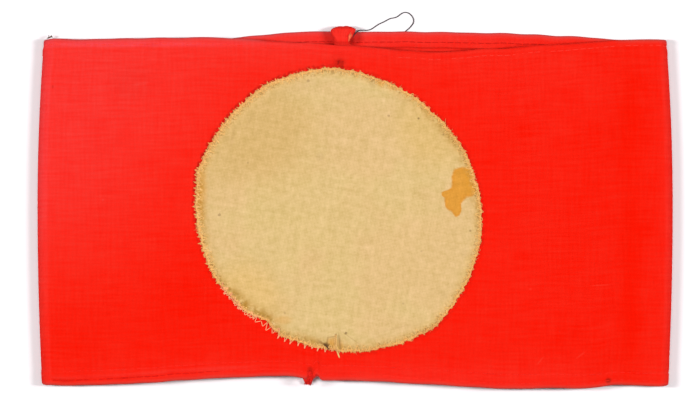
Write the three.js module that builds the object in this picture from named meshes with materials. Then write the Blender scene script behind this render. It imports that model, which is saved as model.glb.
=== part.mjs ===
// A cloth armband lying flat: a sewn loop of red cloth with a turned hem at each mouth, a round
// cream cloth patch on its front, and the doubled cloth ends inside its back where the loop is closed.
// Millimetres. +X runs along the flattened loop, +Y towards its upper mouth, +Z up from the surface.

import * as THREE from "three";
import { ParametricGeometry } from "three/addons/geometries/ParametricGeometry.js";

// The flattened loop
const halfWidth = 101.1; // from the middle to a side fold, half way between the mouths
const cornerDraw = { upper: 2.2, lower: 1.4 }; // how much each side fold draws in at the mouths
const mouthReach = 55; // distance from the middle at which the fold has drawn in that much
const foldHeight = 6.0; // height of a side fold
const crown = 2.6; // how far the front springs up past the folds
const crownRun = 0.35; // share of the half width over which it rises

// The cloth
const cloth = 1.0; // one thickness
const hemCloth = 1.8; // thickness of the turned hem
const hemDepth = 5.0; // how far the hem reaches in from the mouth
const hemStep = 0.6; // run of the step from the hem down to one thickness
const gap = 0.3; // between pieces that are sewn together

// The round patch
const patchCentre = { x: -5.4, y: -1.5 };
const patchRadius = 45.3;
const patchStretch = 1.4; // how much longer and shorter the radius is along and across the pull
const patchPull = THREE.MathUtils.degToRad(141); // direction in which the patch is pulled long
const patchCloth = 1.0;
const patchRim = 0.5; // how far in the rim is rounded

// The y of each layer's edge along both mouths, from the left fold to the right
const mouthEdges = [
  { x: -98, frontTop: 53.4, backTop: 53.3, frontBottom: -56.7, backBottom: -56.2 },
  { x: -80, frontTop: 53.4, backTop: 52.9, frontBottom: -56.3, backBottom: -55.8 },
  { x: -60, frontTop: 53.7, backTop: 52.9, frontBottom: -55.2, backBottom: -54.6 },
  { x: -44, frontTop: 53.7, backTop: 53.6, frontBottom: -54.2, backBottom: -53.8 },
  { x: -36, frontTop: 53.3, backTop: 54.5, frontBottom: -53.9, backBottom: -53.6 },
  { x: -28, frontTop: 52.6, backTop: 55.2, frontBottom: -53.7, backBottom: -53.1 },
  { x: -22, frontTop: 52.3, backTop: 55.6, frontBottom: -53.6, backBottom: -52.9 },
  { x: -13, frontTop: 52.0, backTop: 56.0, frontBottom: -54.9, backBottom: -53.0 },
  { x: 4, frontTop: 50.9, backTop: 56.0, frontBottom: -55.1, backBottom: -53.9 },
  { x: 15, frontTop: 49.9, backTop: 55.9, frontBottom: -55.7, backBottom: -54.6 },
  { x: 25, frontTop: 49.3, backTop: 55.9, frontBottom: -56.4, backBottom: -55.0 },
  { x: 40, frontTop: 49.9, backTop: 55.6, frontBottom: -57.2, backBottom: -55.5 },
  { x: 52, frontTop: 50.8, backTop: 55.4, frontBottom: -57.6, backBottom: -55.8 },
  { x: 66, frontTop: 51.5, backTop: 54.7, frontBottom: -57.5, backBottom: -56.0 },
  { x: 80, frontTop: 52.4, backTop: 54.0, frontBottom: -57.4, backBottom: -56.1 },
  { x: 87, frontTop: 53.0, backTop: 53.4, frontBottom: -56.5, backBottom: -56.1 },
  { x: 98, frontTop: 53.3, backTop: 53.1, frontBottom: -57.0, backBottom: -56.7 },
];

// Soft swells of the front cloth: where each one peaks, how far it reaches, and its height
const swells = [
  { x: -26, y: -55, reachX: 20, reachY: 20, height: 0.6 },
  { x: 62, y: -58, reachX: 30, reachY: 16, height: 0.6 },
  { x: -70, y: 42, reachX: 22, reachY: 26, height: 0.4 },
  { x: 74, y: 14, reachX: 12, reachY: 50, height: 0.3 },
  { x: -4, y: 56, reachX: 20, reachY: 12, height: -0.7 },
];

// The doubled ends of the strip, from the frayed lower end to the bunched upper one.
// base is the height of the underside and top that of the upper side.
const seamRows = [
  { y: -56.2, x: -15.2, width: 1.6, base: 1.2, top: 2.2 },
  { y: -54.6, x: -15.2, width: 3.2, base: 1.0, top: 3.0 },
  { y: -53.7, x: -15.2, width: 5.0, base: 0.9, top: 3.4 },
  { y: -52.2, x: -15.1, width: 7.0, base: 2.1, top: 3.8 },
  { y: -48.8, x: -14.8, width: 7.6, base: 2.1, top: 3.8 },
  { y: -46.4, x: -14.6, width: 7.6, base: 1.35, top: 3.1 },
  { y: 0, x: -9.4, width: 7.6, base: 1.35, top: 3.1 },
  { y: 46.8, x: -4.6, width: 7.6, base: 1.35, top: 3.1 },
  { y: 50.0, x: -4.2, width: 7.0, base: 2.15, top: 4.2 },
  { y: 51.6, x: -4.0, width: 6.2, base: 2.15, top: 5.4 },
  { y: 52.6, x: -3.9, width: 6.0, base: 2.15, top: 6.7 },
  { y: 53.6, x: -3.9, width: 6.4, base: 2.15, top: 7.2 },
  { y: 54.8, x: -3.9, width: 7.2, base: 2.15, top: 6.7 },
  { y: 56.0, x: -3.8, width: 7.6, base: 2.0, top: 6.0 },
  { y: 57.0, x: -3.7, width: 6.6, base: 1.9, top: 5.2 },
  { y: 57.5, x: -3.7, width: 4.8, base: 2.4, top: 4.2 },
];

// Stations round the loop in each of its four runs, and rows across the field between the hems
const backStations = 20;
const foldStations = 8;
const frontStations = 28;
const fieldRows = 8;
const patchSectors = 56;

const foldRadius = foldHeight / 2;
const loopStations = backStations + frontStations + 2 * foldStations;

// A smooth curve through one column of a table whose rows are in order of x
function columnAt(rows, x, column) {
  const last = rows.length - 1;
  const clamped = THREE.MathUtils.clamp(x, rows[0].x, rows[last].x);
  const i = Math.min(last - 1, rows.findLastIndex((row) => row.x <= clamped));
  const before = rows[Math.max(0, i - 1)];
  const from = rows[i];
  const to = rows[i + 1];
  const after = rows[Math.min(last, i + 2)];
  const run = to.x - from.x;
  const t = (clamped - from.x) / run;
  const slopeIn = ((to[column] - before[column]) / (to.x - before.x)) * run;
  const slopeOut = ((after[column] - from[column]) / (after.x - from.x)) * run;
  const rise = to[column] - from[column];
  const bend = slopeIn * (1 - t) ** 2 * t - slopeOut * (1 - t) * t ** 2;
  return from[column] + rise * t ** 2 * (3 - 2 * t) + bend;
}

// Half the loop's width at a place between the mouths
function halfWidthAt(y) {
  return halfWidth - (y > 0 ? cornerDraw.upper : cornerDraw.lower) * (y / mouthReach) ** 2;
}

// Height of the front's outer face: level with the folds at its ends, crowned between them
function frontHeight(x, y) {
  const side = Math.abs(x) / (halfWidthAt(y) - foldRadius);
  const rise = THREE.MathUtils.smoothstep(1 - side, 0, crownRun);
  let height = foldHeight + crown * rise;
  for (const swell of swells) {
    const away = ((x - swell.x) / swell.reachX) ** 2 + ((y - swell.y) / swell.reachY) ** 2;
    height += swell.height * rise * Math.exp(-away);
  }
  return height;
}

// The wall's outline at one station, once round it from the lower mouth: the share of the way to the
// upper mouth, a distance added to that, and the depth under the outer face
function wallOutline() {
  const edgeRadius = hemCloth / 2;
  const hemEnd = hemDepth + hemStep;
  const corner = edgeRadius * (1 - Math.SQRT1_2);
  const field = (inset, depth) =>
    Array.from({ length: fieldRows - 1 }, (_, k) => {
      const share = (k + 1) / fieldRows;
      return { share, shift: inset * (1 - 2 * share), depth };
    });
  const outer = [
    { share: 0, shift: edgeRadius, depth: 0 },
    { share: 0, shift: hemDepth, depth: 0 },
    ...field(hemDepth, 0),
    { share: 1, shift: -hemDepth, depth: 0 },
    { share: 1, shift: -edgeRadius, depth: 0 },
  ];
  const upperEdge = [
    { share: 1, shift: -corner, depth: corner },
    { share: 1, shift: 0, depth: edgeRadius },
    { share: 1, shift: -corner, depth: hemCloth - corner },
  ];
  const inner = [
    { share: 1, shift: -edgeRadius, depth: hemCloth },
    { share: 1, shift: -hemDepth, depth: hemCloth },
    { share: 1, shift: -hemEnd, depth: cloth },
    ...field(hemEnd, cloth).reverse(),
    { share: 0, shift: hemEnd, depth: cloth },
    { share: 0, shift: hemDepth, depth: hemCloth },
    { share: 0, shift: edgeRadius, depth: hemCloth },
  ];
  const lowerEdge = upperEdge.map((row) => ({ share: 0, shift: -row.shift, depth: row.depth })).reverse();
  return [...outer, ...upperEdge, ...inner, ...lowerEdge];
}

// Which run of the loop a station is in, and how far along that run
function runAt(station) {
  const place = station % loopStations;
  if (place < backStations) return { run: "back", along: place / backStations };
  if (place < backStations + foldStations) {
    return { run: "right", along: (place - backStations) / foldStations };
  }
  if (place < backStations + foldStations + frontStations) {
    return { run: "front", along: (place - backStations - foldStations) / frontStations };
  }
  return { run: "left", along: (place - backStations - foldStations - frontStations) / foldStations };
}

// The two mouths' y at a station; round a fold the edge passes from one layer's to the other's
function mouthsAt({ run, along }) {
  const frontShare = { back: 0, right: along, front: 1, left: 1 - along }[run];
  const x = {
    back: THREE.MathUtils.lerp(-halfWidth, halfWidth, along),
    right: halfWidth,
    front: THREE.MathUtils.lerp(halfWidth, -halfWidth, along),
    left: -halfWidth,
  }[run];
  const edge = (end) =>
    THREE.MathUtils.lerp(
      columnAt(mouthEdges, x, `back${end}`),
      columnAt(mouthEdges, x, `front${end}`),
      frontShare,
    );
  return { bottom: edge("Bottom"), top: edge("Top") };
}

// A point of the wall: at a station, at a y, and at a depth under the outer face
function wallPoint({ run, along }, y, depth, target) {
  const flat = halfWidthAt(y) - foldRadius;
  if (run === "back") return target.set(THREE.MathUtils.lerp(-flat, flat, along), y, depth);
  if (run === "front") {
    const x = THREE.MathUtils.lerp(flat, -flat, along);
    return target.set(x, y, frontHeight(x, y) - depth);
  }
  const side = run === "right" ? 1 : -1;
  const climb = run === "right" ? along : 1 - along;
  const angle = Math.PI * (climb - 0.5);
  const radius = foldRadius - depth;
  return target.set(
    side * (flat + radius * Math.cos(angle)),
    y,
    foldRadius + radius * Math.sin(angle),
  );
}

function bandGeometry() {
  const outline = wallOutline();
  const place = (u, v, target) => {
    const at = runAt(Math.round(u * loopStations));
    const row = outline[Math.round((1 - v) * outline.length) % outline.length];
    const { bottom, top } = mouthsAt(at);
    const y = THREE.MathUtils.lerp(bottom, top, row.share) + row.shift;
    wallPoint(at, y, row.depth, target);
  };
  return new ParametricGeometry(place, loopStations, outline.length);
}

// The patch's radius in one direction: an ellipse, because the sewing pulled it long one way
function patchRadiusAt(angle) {
  return patchRadius + patchStretch * Math.cos(2 * (angle - patchPull));
}

function patchGeometry() {
  const face = [0, 0.25, 0.5, 0.7, 0.86];
  const outline = [
    ...face.map((share) => ({ share, inset: 0, lift: 0 })),
    { share: 1, inset: patchRim, lift: 0 },
    { share: 1, inset: 0, lift: patchCloth / 3 },
    { share: 1, inset: 0, lift: (patchCloth * 2) / 3 },
    { share: 1, inset: patchRim, lift: patchCloth },
    ...face.toReversed().map((share) => ({ share, inset: 0, lift: patchCloth })),
  ];
  const last = outline.length - 1;
  const place = (u, v, target) => {
    const angle = 2 * Math.PI * ((u * patchSectors) % patchSectors) / patchSectors;
    const row = outline[Math.round(v * last)];
    const radius = patchRadiusAt(angle) * row.share - row.inset;
    const x = patchCentre.x + radius * Math.cos(angle);
    const y = patchCentre.y + radius * Math.sin(angle);
    target.set(x, y, frontHeight(x, y) + gap + row.lift);
  };
  return new ParametricGeometry(place, patchSectors, last);
}

// The seam's section is a flat oval of eight sides that closes to a point at each end
function seamGeometry() {
  const sides = 8;
  const squareness = 1.16; // pushes the oval's corners out towards a box
  const rows = [{ ...seamRows[0], width: 0 }, ...seamRows, { ...seamRows.at(-1), width: 0 }];
  rows[0].y -= 0.4;
  rows.at(-1).y += 0.1;
  const last = rows.length - 1;
  const place = (u, v, target) => {
    const row = rows[Math.round(v * last)];
    const angle = (-2 * Math.PI * ((Math.round(u * sides) % sides) + 0.5)) / sides;
    const closed = row.width === 0 ? 0 : 1;
    const across = THREE.MathUtils.clamp(squareness * Math.cos(angle), -1, 1);
    const up = THREE.MathUtils.clamp(squareness * Math.sin(angle), -1, 1) * closed;
    const middle = (row.base + row.top) / 2;
    target.set(
      row.x + (row.width / 2) * across,
      row.y,
      middle + ((row.top - row.base) / 2) * up,
    );
  };
  return new ParametricGeometry(place, sides, last);
}

function clothPiece(name, geometry, colour, roughness) {
  geometry.computeVertexNormals();
  const material = new THREE.MeshStandardMaterial({ color: colour, roughness, metalness: 0 });
  const piece = new THREE.Mesh(geometry, material);
  piece.name = name;
  return piece;
}

const armband = new THREE.Group();
armband.name = "armband";
armband.add(clothPiece("band", bandGeometry(), 0xf0241a, 0.9));
armband.add(clothPiece("round_patch", patchGeometry(), 0xe0bd80, 0.95));
armband.add(clothPiece("seam_allowance", seamGeometry(), 0xd81f16, 0.9));

export default armband;
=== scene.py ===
# A cloth armband lying flat on a white table: a red cotton loop with turned hems, a round cream cotton
# patch sewn to its front, the sewn ends bunched up inside its back, and its stitches, frays and threads.
import math

import bpy
import numpy as np
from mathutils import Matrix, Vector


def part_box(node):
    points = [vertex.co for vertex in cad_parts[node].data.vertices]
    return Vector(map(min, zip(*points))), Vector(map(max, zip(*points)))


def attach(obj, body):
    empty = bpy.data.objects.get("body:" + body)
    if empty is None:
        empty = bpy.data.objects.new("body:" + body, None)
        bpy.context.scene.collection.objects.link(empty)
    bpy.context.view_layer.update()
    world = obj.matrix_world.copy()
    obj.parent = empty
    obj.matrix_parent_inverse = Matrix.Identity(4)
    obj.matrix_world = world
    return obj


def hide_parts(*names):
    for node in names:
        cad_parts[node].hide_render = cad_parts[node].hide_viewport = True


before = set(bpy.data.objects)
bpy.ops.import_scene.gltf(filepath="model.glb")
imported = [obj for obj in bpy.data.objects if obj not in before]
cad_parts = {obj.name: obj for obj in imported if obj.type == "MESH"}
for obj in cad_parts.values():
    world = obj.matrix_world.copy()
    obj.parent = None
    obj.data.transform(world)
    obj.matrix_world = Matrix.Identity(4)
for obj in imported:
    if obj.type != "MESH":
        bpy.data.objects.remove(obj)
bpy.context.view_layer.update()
mm = 0.001
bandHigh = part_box("band")[1]
patchLow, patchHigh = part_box("round_patch")
print("frame loaded")

camera = {
    "middle": (-1.63, 0.0),    # mm, the point that the lens looks straight down at
    "frameWidth": 222.25,      # mm across the picture, at the height below
    "focusHeight": 6.0,        # mm above the table
    "lens": 200.0,
    "sensor": 36.0,
}

lens = bpy.data.cameras.new("camera")
lens.lens = camera["lens"]
lens.sensor_width = camera["sensor"]
lens.clip_end = 20.0
eye = bpy.data.objects.new("camera", lens)
eyeHeight = camera["focusHeight"] + camera["frameWidth"] * camera["lens"] / camera["sensor"]
eye.location = (camera["middle"][0] * mm, camera["middle"][1] * mm, eyeHeight * mm)
bpy.context.scene.collection.objects.link(eye)
bpy.context.scene.camera = eye


# Shapes

# Rises smoothly from 0 at start to 1 at end
def ease(value, start, end):
    share = np.clip((value - start) / (end - start), 0, 1)
    return share * share * (3 - 2 * share)


# A bump that is 1 at distance 0 and dies away past its reach
def bell(distance, reach):
    return np.exp(-((distance / reach) ** 2))


# The same bump over the plane, with a reach along x and one along y
def hill(x, y, middleX, middleY, reachX, reachY):
    return np.exp(-(((x - middleX) / reachX) ** 2 + ((y - middleY) / reachY) ** 2))


# The same bump round a circle, in degrees
def bellRound(degrees, direction, reach):
    return bell((degrees - direction + 180) % 360 - 180, reach)


# Even random relief of about one wavelength: a sum of sine waves with random directions and phases
def ripples(x, y, wavelength, seed, waves=22):
    dice = np.random.default_rng(seed)
    turn = dice.uniform(0, 2 * np.pi, waves)
    pace = 2 * np.pi / (wavelength * dice.uniform(0.7, 1.6, waves))
    phase = dice.uniform(0, 2 * np.pi, waves)
    x, y = np.broadcast_arrays(np.asarray(x, float), np.asarray(y, float))
    total = np.zeros(x.shape)
    for k in range(waves):
        total += np.sin((np.cos(turn[k]) * x + np.sin(turn[k]) * y) * pace[k] + phase[k])
    return total * math.sqrt(2 / waves)


# A smooth curve through points (xs, ys): cubic pieces that leave each point along its neighbours' chord
def through(at, xs, ys):
    xs, ys = np.asarray(xs, float), np.asarray(ys, float)
    at = np.clip(at, xs[0], xs[-1])
    order = np.arange(len(xs))
    low, high = np.maximum(order - 1, 0), np.minimum(order + 1, len(xs) - 1)
    slope = (ys[high] - ys[low]) / (xs[high] - xs[low])
    i = np.clip(np.searchsorted(xs, at, "right") - 1, 0, len(xs) - 2)
    run = xs[i + 1] - xs[i]
    t = (at - xs[i]) / run
    bend = slope[i] * (1 - t) ** 2 * t - slope[i + 1] * (1 - t) * t ** 2
    return ys[i] + (ys[i + 1] - ys[i]) * t ** 2 * (3 - 2 * t) + run * bend


# A closed mesh from grids of points in mm, an array (grids, rows, columns, 3). Columns run round and
# join up. Rows join up too when looped, and otherwise a fan closes each end. cloth holds (u, v) in mm
# for each corner of the grid.
def closedMesh(name, grids, looped=False, cloth=None, layers=None):
    count, rows, columns = grids.shape[:3]
    index = np.arange(count * rows * columns).reshape(count, rows, columns)
    across = np.roll(index, -1, 2)
    quads = np.stack([index, across, np.roll(across, -1, 1), np.roll(index, -1, 1)], -1)
    quads = quads if looped else quads[:, :-1]
    points = grids.reshape(-1, 3)
    values = {key: value.reshape(-1) for key, value in (layers or {}).items()}
    fans = np.zeros((0, 3), int)
    if not looped:
        start = len(points) + np.arange(count)[:, None] + 0 * index[:, 0]
        fans = np.concatenate([
            np.stack([across[:, 0], index[:, 0], start], -1).reshape(-1, 3),
            np.stack([index[:, -1], across[:, -1], start + count], -1).reshape(-1, 3),
        ])
        points = np.concatenate([points, grids[:, 0].mean(1), grids[:, -1].mean(1)])
        for key, value in (layers or {}).items():
            values[key] = np.concatenate([values[key], value[:, 0].mean(1), value[:, -1].mean(1)])
    quads = quads.reshape(-1, 4)
    halves = np.concatenate([quads[:, :3], quads[:, [0, 2, 3]], fans])
    corners = points[halves]
    inverted = np.einsum("ij,ij->i", corners[:, 0], np.cross(corners[:, 1], corners[:, 2])).sum() < 0
    step = -1 if inverted else 1
    mesh = bpy.data.meshes.new(name)
    faces = quads[:, ::step].tolist() + fans[:, ::step].tolist()
    mesh.from_pydata((points * mm).tolist(), [], faces)
    mesh.polygons.foreach_set("use_smooth", np.ones(len(faces), bool))
    if cloth is not None:
        spread = np.stack([cloth[:, :-1, :-1], cloth[:, :-1, 1:], cloth[:, 1:, 1:], cloth[:, 1:, :-1]], 3)
        spread = spread.reshape(-1, 4, 2)
        ends = np.zeros((0, 3, 2))
        if not looped:
            first, last = cloth[:, 0], cloth[:, -1]
            middle = [np.broadcast_to(e.mean(1, keepdims=True), e[:, 1:].shape) for e in (first, last)]
            ends = np.concatenate([
                np.stack([first[:, 1:], first[:, :-1], middle[0]], 2).reshape(-1, 3, 2),
                np.stack([last[:, :-1], last[:, 1:], middle[1]], 2).reshape(-1, 3, 2),
            ])
        uv = np.concatenate([spread[:, ::step].reshape(-1, 2), ends[:, ::step].reshape(-1, 2)])
        mesh.uv_layers.new(name="cloth").data.foreach_set("uv", uv.astype(np.float32).ravel())
    for key, value in values.items():
        mesh.attributes.new(key, "FLOAT", "POINT").data.foreach_set("value", value.astype(np.float32))
    mesh.validate()
    piece = bpy.data.objects.new(name, mesh)
    bpy.context.scene.collection.objects.link(piece)
    return piece


# Round threads along paths (threads, points, 3): each ring is a circle square to the path, and the last
# rings shrink to a blunt tip. up is any direction that the paths don't follow.
def threads(name, paths, radius, sides=6, up=(0.0, 0.0, 1.0), tip=0.45):
    along = np.gradient(paths, axis=1)
    along /= np.linalg.norm(along, axis=-1, keepdims=True) + 1e-9
    side = np.cross(along, np.asarray(up, float))
    side /= np.linalg.norm(side, axis=-1, keepdims=True) + 1e-9
    over = np.cross(side, along)
    width = np.broadcast_to(np.asarray(radius, float), paths.shape[:2]).copy()
    width[:, 0] *= tip
    width[:, -1] *= tip
    turn = np.arange(sides) * 2 * np.pi / sides
    ring = np.cos(turn)[:, None] * side[:, :, None] + np.sin(turn)[:, None] * over[:, :, None]
    grids = paths[:, :, None] + width[:, :, None, None] * ring
    step = np.linalg.norm(np.diff(paths, axis=1), axis=-1)
    length = np.concatenate([np.zeros((len(paths), 1)), step.cumsum(1)], 1)
    u = np.broadcast_to(length[:, :, None], (*paths.shape[:2], sides + 1))
    v = np.broadcast_to(np.arange(sides + 1) / sides, u.shape)
    return closedMesh(name, grids, cloth=np.stack([u, v], -1))


# Puts a piece on the object's one body with its material, and hides the parts that it stands for; slotName is
# not used
def wear(piece, material, slotName, *nodes):
    piece.data.materials.append(material)
    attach(piece, "root")
    if nodes:
        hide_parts(*nodes)
    faces = sum(len(p.vertices) - 2 for p in piece.data.polygons)
    print(f"{piece.name}: {faces} triangles")
    return piece


# Materials

# Links an input to the output that is given, or sets it to a plain value
def feed(tree, socket, value):
    if isinstance(value, bpy.types.NodeSocket):
        tree.links.new(value, socket)
    else:
        socket.default_value = value


# Adds a shader node, sets its properties and feeds its inputs
def put(tree, kind, inputs=None, **settings):
    node = tree.nodes.new("ShaderNode" + kind)
    for key, value in settings.items():
        setattr(node, key, value)
    for key, value in (inputs or {}).items():
        feed(tree, node.inputs[key], value)
    return node


def calc(tree, operation, *inputs, clamp=False):
    return put(tree, "Math", dict(enumerate(inputs)), operation=operation, use_clamp=clamp).outputs[0]


def times(tree, product, *factors):
    for factor in factors:
        product = calc(tree, "MULTIPLY", product, factor)
    return product


# Maps a value between two limits to 0..1 with soft ends
def ramp(tree, value, low, high):
    inputs = {"Value": value, "From Min": low, "From Max": high}
    return put(tree, "MapRange", inputs, interpolation_type="SMOOTHSTEP").outputs["Result"]


# 1 at 0, falling to 0 at the reach
def nearZero(tree, value, reach):
    return ramp(tree, value, reach, 0.0)


def blendColours(tree, factor, first, second, blend="MIX"):
    return put(tree, "Mix", {0: factor, 6: first, 7: second}, data_type="RGBA", blend_type=blend).outputs[2]


def noiseAt(tree, vector, scale, detail=2.0, roughness=0.5):
    inputs = {"Vector": vector, "Scale": scale, "Detail": detail, "Roughness": roughness}
    return put(tree, "TexNoise", inputs).outputs["Fac"]


# A value that the mesh carries at each point
def carried(tree, name):
    return put(tree, "Attribute", attribute_name=name).outputs["Fac"]


def newGroup(name, inputs, outputs):
    group = bpy.data.node_groups.new(name, "ShaderNodeTree")
    for socketName, kind, value in inputs:
        socket = group.interface.new_socket(socketName, in_out="INPUT", socket_type="NodeSocket" + kind)
        if value is not None:
            socket.default_value = value
    for socketName, kind in outputs:
        group.interface.new_socket(socketName, in_out="OUTPUT", socket_type="NodeSocket" + kind)
    start = group.nodes.new("NodeGroupInput").outputs
    end = group.nodes.new("NodeGroupOutput").inputs
    return group, start, end


# Plain weave: each thread is an arch across itself, and its height runs up and down along it as it
# passes over and under. Slubs are noise stretched along the threads of each direction; Upright is the
# share of those along Y.
def weaveGroup():
    group, given, result = newGroup(
        "plainWeave",
        [
            ("Vector", "Vector", None), ("Pitch", "Float", 0.5), ("Slub Width", "Float", 1.2),
            ("Upright", "Float", 0.5),
        ],
        [("Height", "Float"), ("Groove", "Float"), ("Slub", "Float")],
    )
    inPitches = put(group, "VectorMath", {0: given["Vector"], 1: given["Pitch"]}, operation="DIVIDE")
    split = put(group, "SeparateXYZ", {0: inPitches.outputs[0]}).outputs
    heights = []
    for across, along, half in ((split["X"], split["Y"], 0.5), (split["Y"], split["X"], -0.5)):
        place = calc(group, "SUBTRACT", calc(group, "FRACT", across), 0.5)
        arch = calc(group, "COSINE", calc(group, "MULTIPLY", place, 2.7))
        phase = calc(group, "SUBTRACT", calc(group, "ADD", along, calc(group, "FLOOR", across)), half)
        wave = calc(group, "COSINE", calc(group, "MULTIPLY", phase, math.pi))
        over = calc(group, "MULTIPLY_ADD", wave, 0.5, 0.5)
        heights.append(calc(group, "MULTIPLY", arch, over))
    height = calc(group, "MAXIMUM", *heights)
    inSlubs = put(group, "VectorMath", {0: given["Vector"], 1: given["Slub Width"]}, operation="DIVIDE")
    streaks = []
    for squeeze in ((0.07, 1.0, 1.0), (1.0, 0.07, 1.0)):
        stretched = put(group, "VectorMath", {0: inSlubs.outputs[0], 1: squeeze}, operation="MULTIPLY")
        streaks.append(noiseAt(group, stretched.outputs[0], 1.0, 3.0, 0.6))
    level, upright = streaks
    slub = calc(group, "MULTIPLY_ADD", calc(group, "SUBTRACT", upright, level), given["Upright"], level)
    group.links.new(height, result["Height"])
    group.links.new(calc(group, "SUBTRACT", 1.0, height), result["Groove"])
    group.links.new(slub, result["Slub"])
    return group


# A stain: 1 within an oval round its centre, with an edge that noise makes ragged
def stainGroup():
    group, given, result = newGroup(
        "stain",
        [
            ("Vector", "Vector", None), ("Centre", "Vector", (0, 0, 0)), ("Reach", "Vector", (1, 1, 1)),
            ("Ragged", "Float", 0.4), ("Grain", "Float", 0.5), ("Soft", "Float", 0.2),
        ],
        [("Mask", "Float"), ("Distance", "Float")],
    )
    away = put(group, "VectorMath", {0: given["Vector"], 1: given["Centre"]}, operation="SUBTRACT")
    oval = put(group, "VectorMath", {0: away.outputs[0], 1: given["Reach"]}, operation="DIVIDE")
    flat = put(group, "VectorMath", {0: oval.outputs[0], 1: (1, 1, 0)}, operation="MULTIPLY")
    distance = put(group, "VectorMath", {0: flat.outputs[0]}, operation="LENGTH").outputs["Value"]
    noise = noiseAt(group, given["Vector"], given["Grain"], 4.0, 0.6)
    bent = calc(group, "MULTIPLY_ADD", calc(group, "SUBTRACT", noise, 0.5), given["Ragged"], distance)
    outer, inner = (calc(group, way, 1.0, given["Soft"]) for way in ("ADD", "SUBTRACT"))
    group.links.new(ramp(group, bent, outer, inner), result["Mask"])
    group.links.new(bent, result["Distance"])
    return group


# Twisted thread: slanting ridges that wind round the thread as they run along it
def twistGroup():
    group, given, result = newGroup("threadTwist", [("Pitch", "Float", 0.5)], [("Height", "Float")])
    split = put(group, "SeparateXYZ", {0: put(group, "UVMap", uv_map="cloth").outputs[0]}).outputs
    winds = calc(group, "ADD", calc(group, "DIVIDE", split["X"], given["Pitch"]), split["Y"])
    ridge = calc(group, "SINE", calc(group, "MULTIPLY", winds, 2 * math.pi))
    group.links.new(calc(group, "MULTIPLY_ADD", ridge, 0.5, 0.5), result["Height"])
    return group


plainWeave, stain, threadTwist = weaveGroup(), stainGroup(), twistGroup()


def newMaterial(name):
    material = bpy.data.materials.new(name)
    material.use_nodes = True
    material.node_tree.nodes.clear()
    return material, material.node_tree


def groupIn(tree, group, inputs):
    return put(tree, "Group", inputs, node_tree=group)


# Places on the object in mm
def placeIn(tree):
    coordinate = put(tree, "TexCoord").outputs["Object"]
    return put(tree, "VectorMath", {0: coordinate, "Scale": 1 / mm}, operation="SCALE").outputs[0]


# How far a place is inside an oval stain, as the stain's mask or as its bent distance
def stainAt(tree, place, centre, reach, ragged, grain, soft, output="Mask"):
    return groupIn(tree, stain, {
        "Vector": place, "Centre": (*centre, 0), "Reach": (*reach, 1),
        "Ragged": ragged, "Grain": grain, "Soft": soft,
    }).outputs[output]


# The same for a streak, an oval whose length points in a direction in degrees
def streakAt(tree, place, centre, direction, reach, ragged, grain, soft):
    along = put(tree, "Mapping", {
        "Vector": place, "Location": (*centre, 0), "Rotation": (0, 0, math.radians(direction)),
    }, vector_type="TEXTURE").outputs[0]
    return stainAt(tree, along, (0, 0), reach, ragged, grain, soft)


def finishMaterial(tree, colour, height, reach, roughness, **plain):
    bump = put(tree, "Bump", {"Height": height, "Distance": reach * mm, "Strength": 1.0}).outputs[0]
    shader = put(tree, "BsdfPrincipled", {"Base Color": colour, "Roughness": roughness, "Normal": bump})
    for key, value in plain.items():
        shader.inputs[key.replace("_", " ")].default_value = value
    out = put(tree, "OutputMaterial")
    tree.links.new(shader.outputs[0], out.inputs[0])


rimReach = 20.0   # mm on each side of the patch's rim over which the red cloth carries its distance from it
redCloth = {
    "deep": (0.667, 0.0050, 0.0003, 1),     # the dye where it is unfaded
    "faded": (0.667, 0.0400, 0.0324, 1),    # washed out, towards the upper left
    # the soil's colour, which also paints the shade beside the patch's rim and round the tuft's hole
    "soilAndShade": (0.30, 0.008, 0.004, 1),
    "edge": (0.44, 0.062, 0.062, 1),        # painted shade where the hems turn over at the mouths
    "pitch": 0.42,                          # mm from thread to thread
    "slubWidth": 0.85,
    "upright": 0.40,                        # share of the slubs that run up the band
    "patchy": 0.24,                         # how much the fading changes from place to place
    "rimShadeSide": ((-36, 24), (34, 34)),     # where the painted shade and soil beside the rim are strongest: place (mm), reach (mm)
    "soilSpotsAndHoleShade": [                          # place (mm), reach (mm), strength; soil, and painted shade at the tuft's hole
        ((-4.9, 45.9), (1.5, 1.0), 0.55), ((-5.6, 46.0), (3.2, 1.9), 0.14), ((-4.2, 44.5), (0.7, 0.9), 0.55),
        ((80.3, -55.0), (0.9, 0.8), 0.9),
        # round the hole that the tuft rises from: painted shade of the hole, with some soil
        ((-14.2, -51.9), (1.1, 1.2), 0.55),
        ((-96.0, 38.2), (0.3, 0.5), 0.35), ((-1.3, 53.0), (0.9, 1.2), 0.6),
        ((-71.0, 39.0), (6.0, 5.0), 0.06),
    ],
    "scratches": [                          # place (mm), direction (degrees), half length and half width (mm)
        ((77.8, -24.8), 2, 3.0, 0.22), ((71.4, -47.0), 38, 1.7, 0.25), ((58.7, -48.6), 52, 1.5, 0.25),
        ((-68.0, 39.0), 8, 2.4, 0.5), ((-80.0, 2.3), 60, 0.4, 0.35), ((55.5, -26.0), 10, 0.4, 0.35),
    ],
}


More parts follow.
